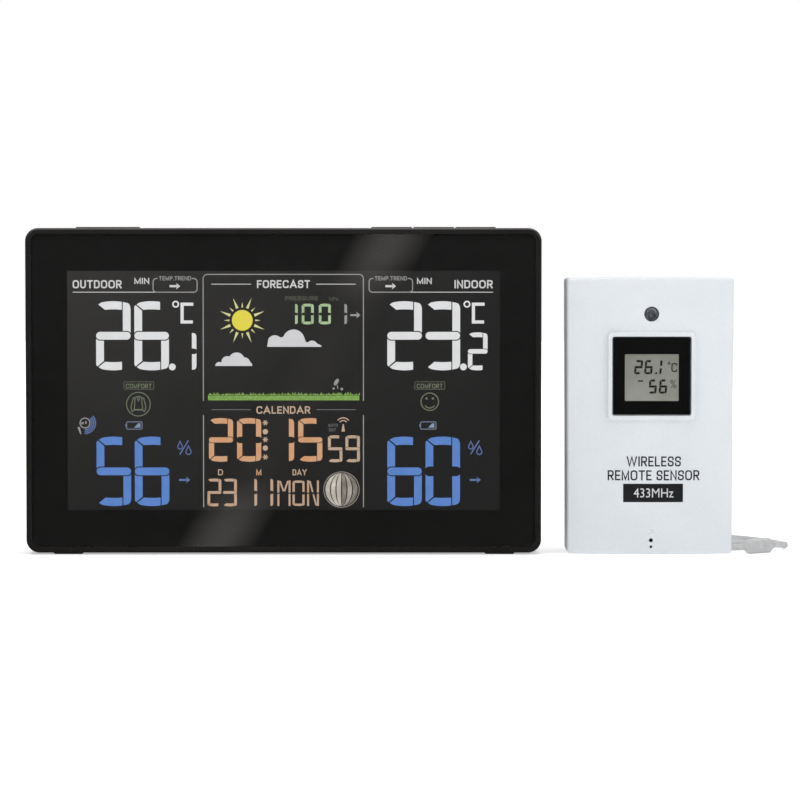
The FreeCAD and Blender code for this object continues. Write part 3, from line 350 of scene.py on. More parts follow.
# the CAD nodes' material slots, then the inks, then what is lit on the display
MATERIALS = {
    "lens": lens_glass(),
    "frame_black": moulded("gloss_black", (25, 22, 20), (30, 27, 25), 0.3, 0.0006, 0.06, coat=0.25),
    "case_black": moulded("spark_black", (30, 30, 30), (36, 36, 35), 0.52, 0.0006, 0.45),
    "key_black": moulded("key_black", (34, 34, 34), (42, 41, 40), 0.42, 0.0004, 0.3),
    "foot_rubber": rubber("foot_rubber", (22, 22, 22), (52, 51, 50)),
    "seal_rubber": rubber("seal_rubber", (150, 151, 152), (176, 177, 178)),
    "pin_steel": metal("ground_steel", (150, 150, 150), (196, 196, 194), 0.28, (0.05, 1, 1)),
    "screw_steel": metal("zinc_screw", (140, 141, 144), (186, 186, 182), 0.34),
    "spring_steel": metal("nickel_strip", (168, 167, 160), (214, 212, 204), 0.22, (1, 1, 0.1)),
    "copper": metal("enamelled_wire", (168, 92, 44), (206, 128, 72), 0.3),
    "display_face": display_field(),
    "sensor_lcd_face": sensor_display(),
    "light_guide": moulded("frosted_acrylic", (214, 218, 218), (232, 234, 232), 0.2, 0.0005, 0.2),
    "board_green": board(),
    "white_plastic": moulded("white_holder", (216, 216, 212), (228, 228, 224), 0.5),
    "chip_black": moulded("chip_epoxy", (26, 26, 28), (38, 38, 40), 0.6, 0.0003, 0.4),
    "speaker_black": moulded("speaker_basket", (30, 30, 32), (44, 44, 46), 0.5, 0.0005, 0.4),
    "jack_black": moulded("jack_nylon", (22, 22, 22), (32, 32, 32), 0.45, 0.0004, 0.3),
    "battery_jacket": battery_jacket(),
    "sensor_white": moulded("cool_white", (222, 227, 231), (228, 232, 236), 0.42, 0.0005, 0.07,
                            speck=0.02),
    "window_black": lens_glass(),
    "led_smoke": smoked_led(),
    "cord_grey": cord_jacket(),
    "tie_grey": cord_jacket("tie_vinyl", (92, 94, 96), (120, 122, 124)),
    "probe_grey": cord_jacket("probe_sleeve", (176, 178, 180), (196, 198, 200)),
    "mask": flat_ink("mask_black", (31, 28, 24), (36, 32, 28), 0.55),
    "print_black": flat_ink("print_black", (22, 24, 28), (28, 30, 34)),
    "print_pale": flat_ink("print_pale", (206, 208, 210), (216, 218, 220)),
    "window_border": flat_ink("window_border", (5, 6, 7), (8, 9, 10), shine=0.2),
    "lcd_ink": flat_ink("lcd_ink", (34, 38, 32), (46, 50, 42)),
    "lcd_ink_faded": flat_ink("lcd_ink_faded", (92, 96, 88), (104, 108, 100)),
    "white": lit("segments_white", (228, 229, 229), 1.1, 0.94),
    "label": lit("labels_white", (214, 214, 212), 1.08, 0.92),
    "line": lit("lines_grey", (165, 165, 163), 1.0, 0.86),
    "faint": lit("marks_faint", (98, 102, 88), 1.0, 0.8),
    "dim": lit("marks_grey", (122, 123, 124), 1.0, 0.8),
    "blue": lit("segments_blue", (90, 136, 203), 1.05, 0.92, other=(98, 136, 206)),
    "soft_blue": lit("marks_blue", (104, 124, 176), 1.0, 0.8),
    "pale_blue": lit("marks_pale_blue", (138, 164, 188), 1.0, 0.85),
    "lilac": lit("marks_lilac", (132, 128, 146), 1.0, 0.85, other=(112, 126, 150)),
    "amber": lit("segments_amber", (220, 160, 114), 1.05, 0.9, other=(214, 166, 128)),
    "sand": lit("marks_sand", (208, 182, 156), 1.0, 0.82),
    "pale_amber": lit("segments_pale_amber", (212, 172, 138), 1.0, 0.86, other=(196, 170, 150)),
    "green": lit("segments_green", (163, 194, 142), 1.05, 0.9, other=(178, 204, 160)),
    "dim_green": lit("marks_green", (124, 132, 110), 1.0, 0.8),
    "yellow": lit("sun_yellow", (231, 229, 58), 1.05, 0.95, other=(236, 214, 96), cell=0.0007),
    "cream": lit("ray_cream", (224, 222, 160), 1.05, 0.85),
    "cloud": lit("cloud_grey", (218, 218, 219), 1.05, 0.93),
    "grass": lit("grass_green", (150, 187, 100), 1.0, 0.78, 0.0012, other=(124, 164, 80), cell=0.0009),
    "moon_light": lit("moon_light", (226, 221, 207), 1.0, 0.7, 0.0022, other=(192, 186, 172)),
    "moon_half": lit("moon_half", (192, 184, 172), 1.0, 0.75, 0.0018, other=(160, 152, 142)),
    "moon_dark": lit("moon_dark", (164, 156, 147), 1.0, 0.65, 0.0014, other=(122, 115, 107)),
}


def dress_nodes():
    """Gives each CAD node the material of its slot."""
    for part in frame["record"]["subparts"]:
        piece = NODES[part["node"]]
        piece.data.materials.clear()
        piece.data.materials.append(MATERIALS[part["material_slot"]])


# -------- thin shapes on a face


def add_object(name, data):
    made = bpy.data.objects.new(name, data)
    bpy.context.collection.objects.link(made)
    return made


def drawn_text(words):
    """A word in Blender's own typeface, as a flat mesh."""
    curve = bpy.data.curves.new("word", "FONT")
    curve.body = words
    curve.resolution_u = 3
    letters = add_object("word", curve)
    bpy.context.view_layer.update()
    mesh = bpy.data.meshes.new_from_object(letters.evaluated_get(bpy.context.evaluated_depsgraph_get()))
    bpy.data.objects.remove(letters)
    bpy.data.curves.remove(curve)
    return mesh


class Ink:
    """Thin flat shapes of one material, gathered into one piece on a panel."""

    def __init__(self, name, material, panel=STATION, slot="display_face", depth=INK_DEPTH,
                 thick=INK_THICK):
        self.name, self.material, self.slot = name, MATERIALS[material], slot
        self.panel, self.depth, self.thick = panel, depth, thick
        self.mesh = bmesh.new()

    def level(self, u, v):
        """The depth of the ink's front at a spot."""
        return self.depth(u, v) if callable(self.depth) else self.depth

    def corner(self, u, v, back):
        return self.mesh.verts.new(self.panel.at(u, v, self.level(u, v) + (self.thick if back else 0)))

    def polygon(self, points):
        front = [self.corner(u, v, False) for u, v in points]
        back = [self.corner(u, v, True) for u, v in points]
        self.mesh.faces.new(front)
        self.mesh.faces.new(back[::-1])
        for i, corner in enumerate(front):
            following = (i + 1) % len(front)
            self.mesh.faces.new((front[following], corner, back[i], back[following]))

    def strip(self, left, right, closed=False):
        """A ribbon between two rows of points."""
        rows = [[self.corner(u, v, back) for u, v in row]
                for row in (left, right) for back in (False, True)]
        near_left, far_left, near_right, far_right = rows
        sides = ((near_left, near_right), (far_right, far_left), (far_left, near_left),
                 (near_right, far_right))
        count = len(left)
        for i in range(count if closed else count - 1):
            j = (i + 1) % count
            for one, two in sides:
                self.mesh.faces.new((one[i], one[j], two[j], two[i]))
        if not closed:
            for i in (0, count - 1):
                self.mesh.faces.new((near_left[i], near_right[i], far_right[i], far_left[i]))

    def line(self, points, width, closed=False, square=False):
        """A stroke of even width with mitred corners; square adds half a width at both ends."""
        spots = [Vector(point) for point in points]
        if square:
            spots[0] += (spots[0] - spots[1]).normalized() * width / 2
            spots[-1] += (spots[-1] - spots[-2]).normalized() * width / 2
        count = len(spots)
        left, right = [], []
        for i, spot in enumerate(spots):
            before = spots[i - 1] if i or closed else None
            after = spots[(i + 1) % count] if i < count - 1 or closed else None
            into = (spot - before).normalized() if before else (after - spot).normalized()
            onward = (after - spot).normalized() if after else into
            along = (into + onward).normalized()
            side = Vector((-along.y, along.x)) * (width / 2 / max(0.4, along.dot(into)))
            left.append(spot + side)
            right.append(spot - side)
        self.strip(left, right, closed)

    def slab(self, u0, u1, v0, v1, columns=1):
        steps = [u0 + (u1 - u0) * i / columns for i in range(columns + 1)]
        self.strip([(u, v1) for u in steps], [(u, v0) for u in steps])

    def disc(self, u, v, radius, steps=28):
        self.polygon(arc(u, v, radius, 0, 360 - 360 / steps, steps - 1))

    def ring(self, u, v, radius, width, steps=36):
        self.line(arc(u, v, radius, 0, 360 - 360 / steps, steps - 1), width, closed=True)

    def letters(self, words, u0, u1, v0, v1, weight=0.175):
        """Capitals drawn as strokes, spaced to fill a box; weight is the stroke over the height."""
        height = v1 - v0
        stroke = weight * height
        gap = 0.16 * height
        plain = [GLYPHS[sign][0] * height for sign in words]
        squeeze = (u1 - u0 - stroke * len(words)) / (sum(plain) + gap * (len(words) - 1))
        u = u0 + stroke / 2
        for sign, width in zip(words, plain):
            across, upward = width * squeeze, height - stroke
            for path in GLYPHS[sign][1]:
                spots = [(u + point[0] * across, v0 + stroke / 2 + point[1] * upward) for point in path]
                cuts = [min(across, upward) * (point[2] if len(point) > 2 else 0) for point in path]
                closed = path[0] == path[-1]
                self.line(softened(spots, cuts), stroke, closed, not closed)
            u += across + stroke + gap * squeeze

    def text(self, words, u0, u1, v0, v1):
        """Words in Blender's own typeface, stretched to fill a box."""
        mesh = drawn_text(words)
        xs = [vertex.co.x for vertex in mesh.vertices]
        ys = [vertex.co.y for vertex in mesh.vertices]
        across = (u1 - u0) / (max(xs) - min(xs))
        upward = (v1 - v0) / (max(ys) - min(ys))
        spots = [(u0 + (vertex.co.x - min(xs)) * across, v0 + (vertex.co.y - min(ys)) * upward)
                 for vertex in mesh.vertices]
        front = [self.corner(u, v, False) for u, v in spots]
        back = [self.corner(u, v, True) for u, v in spots]
        uses = {}
        for face in mesh.polygons:
            ring = list(face.vertices)
            self.mesh.faces.new([front[i] for i in ring])
            self.mesh.faces.new([back[i] for i in reversed(ring)])
            for i, j in zip(ring, ring[1:] + ring[:1]):
                uses[(i, j)] = True
        for i, j in uses:
            if (j, i) not in uses:
                self.mesh.faces.new((front[j], front[i], back[i], back[j]))
        bpy.data.meshes.remove(mesh)

    def done(self):
        """The piece itself, riding on its body."""
        bmesh.ops.recalc_face_normals(self.mesh, faces=self.mesh.faces)
        mesh = bpy.data.meshes.new(self.name)
        self.mesh.to_mesh(mesh)
        self.mesh.free()
        mesh.materials.append(self.material)
        piece = add_object(self.name, mesh)
        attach(piece, self.panel.body)
        return piece


# each capital's width over its height, and its strokes on a unit square; a third number
# rounds that corner, as a share of the letter's smaller side
ROUND = 0.5
GLYPHS = {
    " ": (0.12, []),
    ".": (0.0, [[(0, 0), (0, 0.01)]]),
    "A": (0.82, [[(0, 0), (0.5, 1), (1, 0)], [(0.2, 0.3), (0.8, 0.3)]]),
    "C": (0.66, [[(1, 0.82), (1, 1, ROUND), (0, 1, ROUND), (0, 0, ROUND), (1, 0, ROUND), (1, 0.18)]]),
    "D": (0.62, [[(0, 0), (1, 0, ROUND), (1, 1, ROUND), (0, 1), (0, 0)]]),
    "E": (0.5, [[(1, 1), (0, 1), (0, 0), (1, 0)], [(0, 0.5), (0.85, 0.5)]]),
    "F": (0.48, [[(1, 1), (0, 1), (0, 0)], [(0, 0.5), (0.85, 0.5)]]),
    "I": (0.0, [[(0, 0), (0, 1)]]),
    "L": (0.46, [[(0, 1), (0, 0), (1, 0)]]),
    "M": (0.78, [[(0, 0), (0, 1), (0.5, 0.05), (1, 1), (1, 0)]]),
    "N": (0.62, [[(0, 0), (0, 1), (1, 0), (1, 1)]]),
    "O": (0.7, [[(0, 0.5), (0, 0, ROUND), (1, 0, ROUND), (1, 1, ROUND), (0, 1, ROUND), (0, 0.5)]]),
    "P": (0.56, [[(0, 0), (0, 1), (1, 1, 0.4), (1, 0.44, 0.4), (0, 0.44)]]),
    "R": (0.58, [[(0, 0), (0, 1), (1, 1, 0.4), (1, 0.46, 0.4), (0, 0.46)], [(0.5, 0.46), (1, 0)]]),
    "S": (0.58, [[(1, 0.74), (1, 1, ROUND), (0, 1, ROUND), (0, 0.5, ROUND), (1, 0.5, ROUND),
                  (1, 0, ROUND), (0, 0, ROUND), (0, 0.26)]]),
    "T": (0.6, [[(0, 1), (1, 1)], [(0.5, 1), (0.5, 0)]]),
    "U": (0.6, [[(0, 1), (0, 0, ROUND), (1, 0, ROUND), (1, 1)]]),
    "W": (1.15, [[(0, 1), (0.25, 0), (0.5, 1), (0.75, 0), (1, 1)]]),
    "Y": (0.76, [[(0, 1), (0.5, 0.46), (1, 1)], [(0.5, 0.46), (0.5, 0)]]),
}


def softened(spots, cuts, steps=5):
    """The same path with each corner rounded off, starting its cut from the corner.

    A path that ends where it starts comes back without its last point.
    """
    spots = [Vector(spot) for spot in spots]
    closed = spots[0] == spots[-1]
    points = []
    for i, (spot, cut) in enumerate(zip(spots, cuts)):
        if not cut:
            points.append(spot)
            continue
        before, after = spots[i - 1], spots[i + 1]
        start = spot + (before - spot).normalized() * min(cut, (before - spot).length * 0.499)
        end = spot + (after - spot).normalized() * min(cut, (after - spot).length * 0.499)
        for j in range(steps + 1):
            t = j / steps
            points.append(start * (1 - t) ** 2 + spot * 2 * t * (1 - t) + end * t * t)
    return points[:-1] if closed else points


def arc(u, v, radius, start, end, steps):
    """Points along a circle, from one angle in degrees to another."""
    turns = [math.radians(start + (end - start) * i / steps) for i in range(steps + 1)]
    return [(u + radius * math.cos(turn), v + radius * math.sin(turn)) for turn in turns]


def rounded_box(u0, u1, v0, v1, radius, steps=5):
    points = []
    for u, v, start in ((u1 - radius, v1 - radius, 0), (u0 + radius, v1 - radius, 90),
                        (u0 + radius, v0 + radius, 180), (u1 - radius, v0 + radius, 270)):
        points += arc(u, v, radius, start, start + 90, steps)
    return points


# -------- seven-segment digits

NARROW_WAIST = 0.76
SEGMENTS = {"0": "abcdef", "1": "bc", "2": "abged", "3": "abgcd", "5": "afgcd", "6": "afgecd",
            "9": "abfgcd"}


def segment_shapes(w, h, t, waist):
    """Outlines of the segments of a digit w wide and h high with strokes t thick.

    The top and bottom bars bow outwards, meet the left strokes at a mitre and butt against
    the right ones, and the middle bar is a stadium that the upright strokes end short of.
    They leave room there for a bar of waist times t.
    """
    gap = 0.13 * t
    mid = h / 2

    def crown(x):
        return 0.35 * t * (2 * x / w - 1) ** 2

    def row(x0, x1, line, steps=6):
        return [(x, line(x)) for x in (x0 + (x1 - x0) * i / steps for i in range(steps + 1))]

    room = waist * t / 2 + gap
    foot = math.sqrt(room ** 2 - (t / 2) ** 2)
    heel = arc(w - t / 2, mid, room, math.degrees(math.asin(foot / room)), 90, 5)
    end = w - t - gap
    bar_a = ([(0.3 * t, h - 0.42 * t)] + row(0.7 * t, end, lambda x: h - crown(x))
             + row(end, 1.15 * t, lambda x: h - 0.6 * crown(x) - 1.05 * t))
    top_right = h - crown(w - 0.5 * t)
    shoulder = [(w - 0.5 * t + 0.5 * t * math.sin(a), top_right - 0.8 * t + 0.8 * t * math.cos(a))
                for a in (math.radians(15 * i) for i in range(7))]
    bar_b = [(w - t, h - crown(w - t))] + shoulder + heel + [(w - t, mid + room)]
    toe = [(w - x, y) for x, y in heel][::-1]
    tip = [(0, h - 0.72 * t), (0.16 * t, h - 0.5 * t), (t, h - 1.22 * t)]
    bar_f = [(t, mid + room)] + toe + tip
    cap_right = arc(w - t / 2, mid, t / 2, -90, 90, 8)
    cap_left = arc(t / 2, mid, t / 2, 90, 270, 8)

    def flipped(points):
        return [(x, h - y) for x, y in points][::-1]

    return {"a": bar_a, "b": bar_b, "f": bar_f, "g": cap_right + cap_left,
            "d": flipped(bar_a), "c": flipped(bar_b), "e": flipped(bar_f)}


def draw_digit(ink, sign, u, v, w, h, t, waist=1.0, lean=0.0):
    """One digit with its lower left corner at u, v."""
    shapes = segment_shapes(w, h, t, waist)
    for letter in SEGMENTS[sign]:
        ink.polygon([(u + x + y * lean, v + y) for x, y in shapes[letter]])


def draw_number(ink, signs, columns, row, lean=0.0):
    """Digits side by side, each with its lower left corner at its own column."""
    for sign, u in zip(signs, columns):
        draw_digit(ink, sign, u, *row, lean=lean)


# -------- small symbols


def draw_arrow(ink, u0, u1, v, thick=0.75):
    """A right-pointing arrow."""
    head = 1.5
    ink.slab(u0, u1 - head * 0.8, v - thick / 2, v + thick / 2)
    ink.polygon([(u1 - head, v - 1.2), (u1, v), (u1 - head, v + 1.2), (u1 - head * 0.72, v)])


def draw_drop(ink, u, v, size, width):
    """The outline of a water drop, point up."""
    round_part = arc(u, v, size, -215, 35, 14)
    ink.line(round_part + [(u, v + 2.3 * size)], width, closed=True)


def draw_battery(side, u0, v0=-14.15):
    """A low battery lying on its side, with its terminal at the left."""
    u1, v1 = u0 + 6.1, v0 + 2.65
    middle = (v0 + v1) / 2
    outline = Ink(side + "_battery", "lilac")
    outline.line(rounded_box(u0 + 0.45, u1, v0, v1, 0.4, 3), 0.34, closed=True)
    outline.slab(u0, u0 + 0.3, middle - 0.55, middle + 0.55)
    outline.done()
    fill = Ink(side + "_battery_level", "pale_blue")
    low, high, right = v0 + 0.55, v1 - 0.55, u1 - 0.6
    fill.polygon([(u0 + 3.2, low), (right, low), (right, high), (right - 0.85, high)])
    fill.done()


def cloud_outline(bumps, floor, u0, u1, steps=44):
    """A flat-bottomed cloud: the highest of several circles at each spot."""
    points = []
    for i in range(steps + 1):
        u = u0 + (u1 - u0) * i / steps
        tops = [cv + math.sqrt(max(0.0, r * r - (u - cu) ** 2)) for cu, cv, r in bumps if abs(u - cu) < r]
        points.append((u, max(tops + [floor + 0.25])))
    return [(u0, floor)] + points + [(u1, floor)]


# -------- the display

FIELD_HALF_U, FIELD_HALF_V = 79.15, 43.8      # half the display field
LENS_CORNER = 2.6
PRINT_GAP = 0.06                               # room behind a pane for the border printed on it
PANE_BEVEL = 0.25
BIG_COLUMNS = (-68.6, -54.6)                   # where the two large digits start
# each row of digits: its foot, a digit's width, height and stroke, and where given its waist
TEMPERATURE_ROW = (7.4, 12.65, 25.3, 2.85)
TENTHS_ROW = (7.4, 7.2, 13.9, 1.65)
HUMIDITY_ROW = (-42.4, 12.65, 25.5, 2.85)
PRESSURE_ROW = (24.2, 4.4, 7.6, 0.98, NARROW_WAIST)
CLOCK_ROW = (-26.1, 8.85, 16.0, 1.9)
SECONDS_ROW = (-26.3, 5.3, 9.9, 1.05)
DATE_ROW = (-42.5, 5.1, 10.2, 1.0)
# each row of words: its foot and its top
HEADING_ROW = (37.4, 40.4)
MINIMUM_ROW = (39.0, 41.2)
DATE_WORD_ROW = (-31.1, -28.9)
RULE_V = 36.0                                  # the rule under the outer headings
HEADING_RULE = 0.25                            # how thick the rules beside the headings are


def build_pane(name, node, panel, slot, radius, printed, field):
    """A clear pane with a polished edge, and the black border printed on its back.

    The border leaves the field clear, which is given as its lowest and highest u and v.
    """
    low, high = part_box(node)
    u0, u1 = (low[0] - panel.x) / MM, (high[0] - panel.x) / MM
    v0, v1 = (low[2] - panel.z) / MM, (high[2] - panel.z) / MM
    front, back = (low[1] - panel.y) / MM, (high[1] - panel.y) / MM
    pane = Ink(name, "lens", panel, slot, front, back - front - PRINT_GAP)
    pane.polygon(rounded_box(u0, u1, v0, v1, radius))
    face_y = panel.at(0, 0, front).y + 1e-6
    rim = [edge for edge in pane.mesh.edges if all(corner.co.y < face_y for corner in edge.verts)]
    bmesh.ops.bevel(pane.mesh, geom=rim, offset=PANE_BEVEL * MM, segments=3, profile=0.6, affect="EDGES")
    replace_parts(pane.done(), node)
    # the border lies in the gap that the pane leaves, touching neither side of it
    border = Ink(name + "_border", printed, panel, slot, back - PRINT_GAP * 0.85, PRINT_GAP * 0.6)
    inset = 0.3
    border.strip(rounded_box(u0 + inset, u1 - inset, v0 + inset, v1 - inset, radius - inset),
                 rounded_box(*field, 0.25), closed=True)
    border.done()


def draw_readings(side, panel, temperature, humidity):
    """The big temperature, its point and unit, and the humidity of one side."""
    white = Ink(side + "_temperature", "white", panel)
    draw_number(white, temperature[:2], BIG_COLUMNS, TEMPERATURE_ROW)
    draw_digit(white, temperature[2], -39.1, *TENTHS_ROW)
    white.disc(-40.75, 8.65, 1.25)
    white.ring(-39.45, 31.6, 1.0, 0.55)
    white.line(((-33.0, 31.6), (-37.1, 31.6), (-37.1, 25.1), (-33.2, 25.1)), 1.15)
    white.done()
    blue = Ink(side + "_humidity", "blue", panel)
    draw_number(blue, humidity, BIG_COLUMNS, HUMIDITY_ROW)
    blue.done()


def draw_side_marks(side, panel, battery_u):
    """The comfort badge, battery, drops and arrow of one side."""
    badge = Ink(side + "_comfort_badge", "faint", panel)
    badge.line(rounded_box(-58.5, -47.6, 0.45, 3.2, 0.3, 3), 0.27, closed=True)
    badge.done()
    green = Ink(side + "_comfort_word", "dim_green", panel)
    green.letters("COMFORT", -57.8, -48.3, 0.8, 2.5, 0.16)
    green.done()
    draw_battery(side, battery_u)
    marks = Ink(side + "_marks", "soft_blue", panel)
    draw_drop(marks, -38.0, -20.6, 0.85, 0.38)
    draw_drop(marks, -34.9, -22.5, 0.95, 0.38)
    marks.line([(-38.1, -23.4), (-34.9, -18.3)], 0.45)
    draw_arrow(marks, -38.4, -34.3, -32.8)
    marks.done()


def draw_trend_box(side, u0, u1):
    """A rounded box with its title set into the top edge and an arrow inside."""
    label = Ink(side + "_trend_box", "line")
    middle = (u0 + u1) / 2
    top, bottom, radius = 41.0, RULE_V, 1.2
    left_part = [(middle - 6.4, top)] + arc(u0 + radius, top - radius, radius, 90, 180, 5)
    left_part += arc(u0 + radius, bottom + radius, radius, 180, 270, 5)
    right_part = arc(u1 - radius, bottom + radius, radius, 270, 360, 5)
    right_part += arc(u1 - radius, top - radius, radius, 0, 90, 5) + [(middle + 6.2, top)]
    label.line(left_part + right_part, 0.36)
    label.letters("TEMP.TREND", middle - 5.9, middle + 5.9, 40.3, 41.8, 0.17)
    label.done()
    arrow = Ink(side + "_trend_arrow", "label")
    draw_arrow(arrow, middle - 2.0, middle + 1.9, 38.2, 0.8)
    arrow.done()


def draw_headings():
    """The words and rules above both columns."""
    label = Ink("column_headings", "label")
    for word, u0, u1 in (("OUTDOOR", -77.1, -59.2), ("INDOOR", 62.5, 76.5)):
        label.letters(word, u0, u1, *HEADING_ROW)
    for u0, u1 in ((-54.5, -49.1), (48.8, 54.2)):
        label.letters("MIN", u0, u1, *MINIMUM_ROW, 0.18)
    for u0, u1 in ((-77.1, -46.8), (46.3, 76.6)):
        label.slab(u0, u1, RULE_V - 0.13, RULE_V + 0.13)
    label.done()


def draw_coat(u, v):
    """A ring with a jacket in it: the outdoor comfort symbol."""
    coat = Ink("outdoor_coat_symbol", "dim_green")
    coat.ring(u, v, 4.35, 0.3)
    for side in (-1, 1):
        sleeve = [(1.2, 2.4), (1.95, 2.15), (2.75, -1.0), (2.3, -2.75), (1.6, -2.3), (1.35, 0.0)]
        coat.line([(u + side * x, v + y) for x, y in sleeve], 0.3, closed=True)
    coat.slab(u - 1.35, u + 1.35, v - 2.3, v - 1.8)
    coat.slab(u - 0.95, u + 0.95, v + 2.5, v + 2.9)
    coat.line([(u - 0.5, v + 2.4), (u, v + 1.2), (u + 0.5, v + 2.4)], 0.28)
    coat.done()


def draw_smile(u, v):
    """A ring with a smiling mouth and two eyes: the indoor comfort symbol."""
    face = Ink("indoor_smile_symbol", "dim_green")
    face.ring(u, v, 3.2, 0.36)
    face.disc(u - 1.15, v + 1.2, 0.42, 12)
    face.disc(u + 1.15, v + 1.2, 0.42, 12)
    face.line(arc(u, v - 0.2, 2.1, 215, 325, 10), 0.38)
    face.done()


def draw_signal(u, v):
    """The radio symbol of the outdoor reading, with its channel number."""
    waves = Ink("radio_symbol", "soft_blue")
    for radius in (2.45, 3.15, 3.85):
        waves.line(arc(u, v, radius, -92, 42, 12), 0.5)
    waves.done()
    core = Ink("radio_symbol_core", "line")
    core.ring(u, v, 1.8, 0.36, 24)
    core.slab(u - 1.3, u - 0.5, v - 0.45, v + 0.3)
    core.slab(u + 0.1, u + 0.6, v - 0.35, v + 0.7)
    core.polygon([(u - 2.8, v - 1.5), (u - 1.9, v - 1.5), (u - 1.35, v - 4.1), (u - 1.7, v - 4.1)])
    core.done()


def draw_frames():
    """The rules round the forecast and calendar boxes."""
    rule = Ink("centre_rules", "line")
    left, right, top, radius, width = -29.4, 29.2, 42.5, 1.6, 0.36
    rule.line([(left, -3.8)] + arc(left + radius, top - radius, radius, 180, 90, 6)
              + arc(right - radius, top - radius, radius, 90, 0, 6) + [(right, -3.8)], width)
    for side in (left, right):
        rule.slab(side - width / 2, side + width / 2, -42.8, -9.0)
    rule.done()
    label = Ink("forecast_heading", "label")
    for u0, u1 in ((-26.4, -11.9), (11.9, 26.4)):
        label.slab(u0, u1, 38.8, 38.8 + HEADING_RULE)
    label.letters("FORECAST", -9.7, 9.7, 37.5, 40.4)
    label.done()


def draw_sun(u, v):
    """A disc and sixteen loose rays, long and short by turns."""
    disc = Ink("sun_disc", "yellow")
    disc.disc(u, v, 3.8, 48)
    disc.done()
    rays = Ink("sun_rays", "cream")
    middle = Vector((u, v))
    for i in range(16):
        turn = math.radians(22.5 * i)
        reach, half = (8.8, 0.54) if i % 2 else (6.7, 0.34)
        out = Vector((math.cos(turn), math.sin(turn)))
        side = Vector((-out.y, out.x)) * half
        start = middle + out * 4.75
        rays.polygon([start + side, start - side, middle + out * reach])
    rays.done()


def draw_clouds():
    sky = Ink("clouds", "cloud")
    big = [(-3.2, 17.5, 2.75), (0.3, 16.8, 2.9), (3.7, 18.3, 4.05), (6.7, 16.3, 2.2), (10.4, 16.2, 2.1),
           (12.5, 15.4, 1.6)]
    sky.polygon(cloud_outline(big, 16.0, -6.0, 13.9))
    small = [(-23.6, 9.0, 1.45), (-20.6, 10.4, 2.2), (-17.2, 11.0, 2.95), (-14.2, 10.2, 1.9),
             (-12.6, 9.2, 1.2)]
    sky.polygon(cloud_outline(small, 9.0, -25.0, -11.5))
    sky.done()


def draw_pressure():
    green = Ink("pressure_reading", "green")
    draw_number(green, "100", (0.8, 6.65, 12.9), PRESSURE_ROW)
    green.done()
    grey = Ink("pressure_last_digit", "line")
    draw_digit(grey, "1", 18.85, *PRESSURE_ROW)
    draw_arrow(grey, 24.4, 28.1, 27.6, 0.65)
    grey.done()
    label = Ink("pressure_label", "faint")
    label.letters("PRESSURE", 0.6, 12.7, 32.95, 34.5, 0.17)
    label.text("hPa", 16.8, 20.0, 32.9, 34.2)
    label.done()


def draw_grass():
    """A strip of turf with blades of uneven height, and a small seedling above it."""
    rng = random.Random(7)
    turf = Ink("grass", "grass")
    turf.slab(-27.7, 27.7, -3.6, -1.9, 12)
    for i in range(110):
        u = -27.3 + 54.6 * i / 109 + rng.uniform(-0.2, 0.2)
        height = rng.uniform(0.3, 1.3)
        lean = rng.uniform(-0.45, 0.45)
        turf.polygon([(u - 0.38, -1.75), (u + 0.38, -1.75), (u + lean, -1.7 + height)])
    turf.done()
    sprout = Ink("seedling", "line")
    sprout.polygon([(19.3 + 0.75 * math.cos(a) + 0.55 * math.sin(a), 3.1 + 1.25 * math.sin(a))
                    for a in (math.radians(20 * i) for i in range(18))])
    sprout.disc(18.3, 0.75, 0.42, 10)
    sprout.disc(21.3, 0.55, 0.5, 10)
    sprout.line([(19.6, 1.9), (19.9, 0.6)], 0.3)
    sprout.done()


def draw_calendar():
    """The heading of the lower box, with a rule on either side."""
    label = Ink("calendar_heading", "sand")
    label.letters("CALENDAR", -10.0, 9.7, -8.5, -5.75)
    label.done()
    rule = Ink("calendar_rules", "dim")
    for u0, u1 in ((-26.4, -12.1), (12.1, 26.4)):
        rule.slab(u0, u1, -7.15, -7.15 + HEADING_RULE)
    rule.done()


def draw_clock(colon_u):
    """Hours and minutes, the dots and stars between them, and two words over the date."""
    clock = Ink("time_reading", "amber")
    draw_number(clock, "2015", (-27.4, -17.1, -5.05, 5.3), CLOCK_ROW)
    clock.done()
    small = Ink("clock_marks", "sand")
    for v in (-15.1, -21.1):
        small.disc(colon_u, v, 0.98, 18)
    for v in (-11.8, -18.0, -24.4):
        centre = Vector((colon_u, v))
        for turn in (0, 60, 120):
            out = Vector((math.cos(math.radians(turn)), math.sin(math.radians(turn))))
            small.line([centre - out, centre + out], 0.4)
    for word, u0, u1 in (("D", -24.1, -22.3), ("DAY", 3.2, 8.4)):
        small.letters(word, u0, u1, *DATE_WORD_ROW, 0.16)
    small.done()


def draw_date():
    """The month's sign, the seconds, and the date with its weekday."""
    month = Ink("month_label", "amber")
    month.letters("M", -10.1, -8.2, *DATE_WORD_ROW, 0.17)
    month.done()
    seconds = Ink("seconds_reading", "sand")
    draw_number(seconds, "59", (16.2, 22.6), SECONDS_ROW)
    seconds.done()
    date = Ink("date_reading", "pale_amber")
    draw_number(date, "2311", (-28.0, -22.3, -14.9, -9.0), DATE_ROW)
    draw_weekday(date)
    date.done()


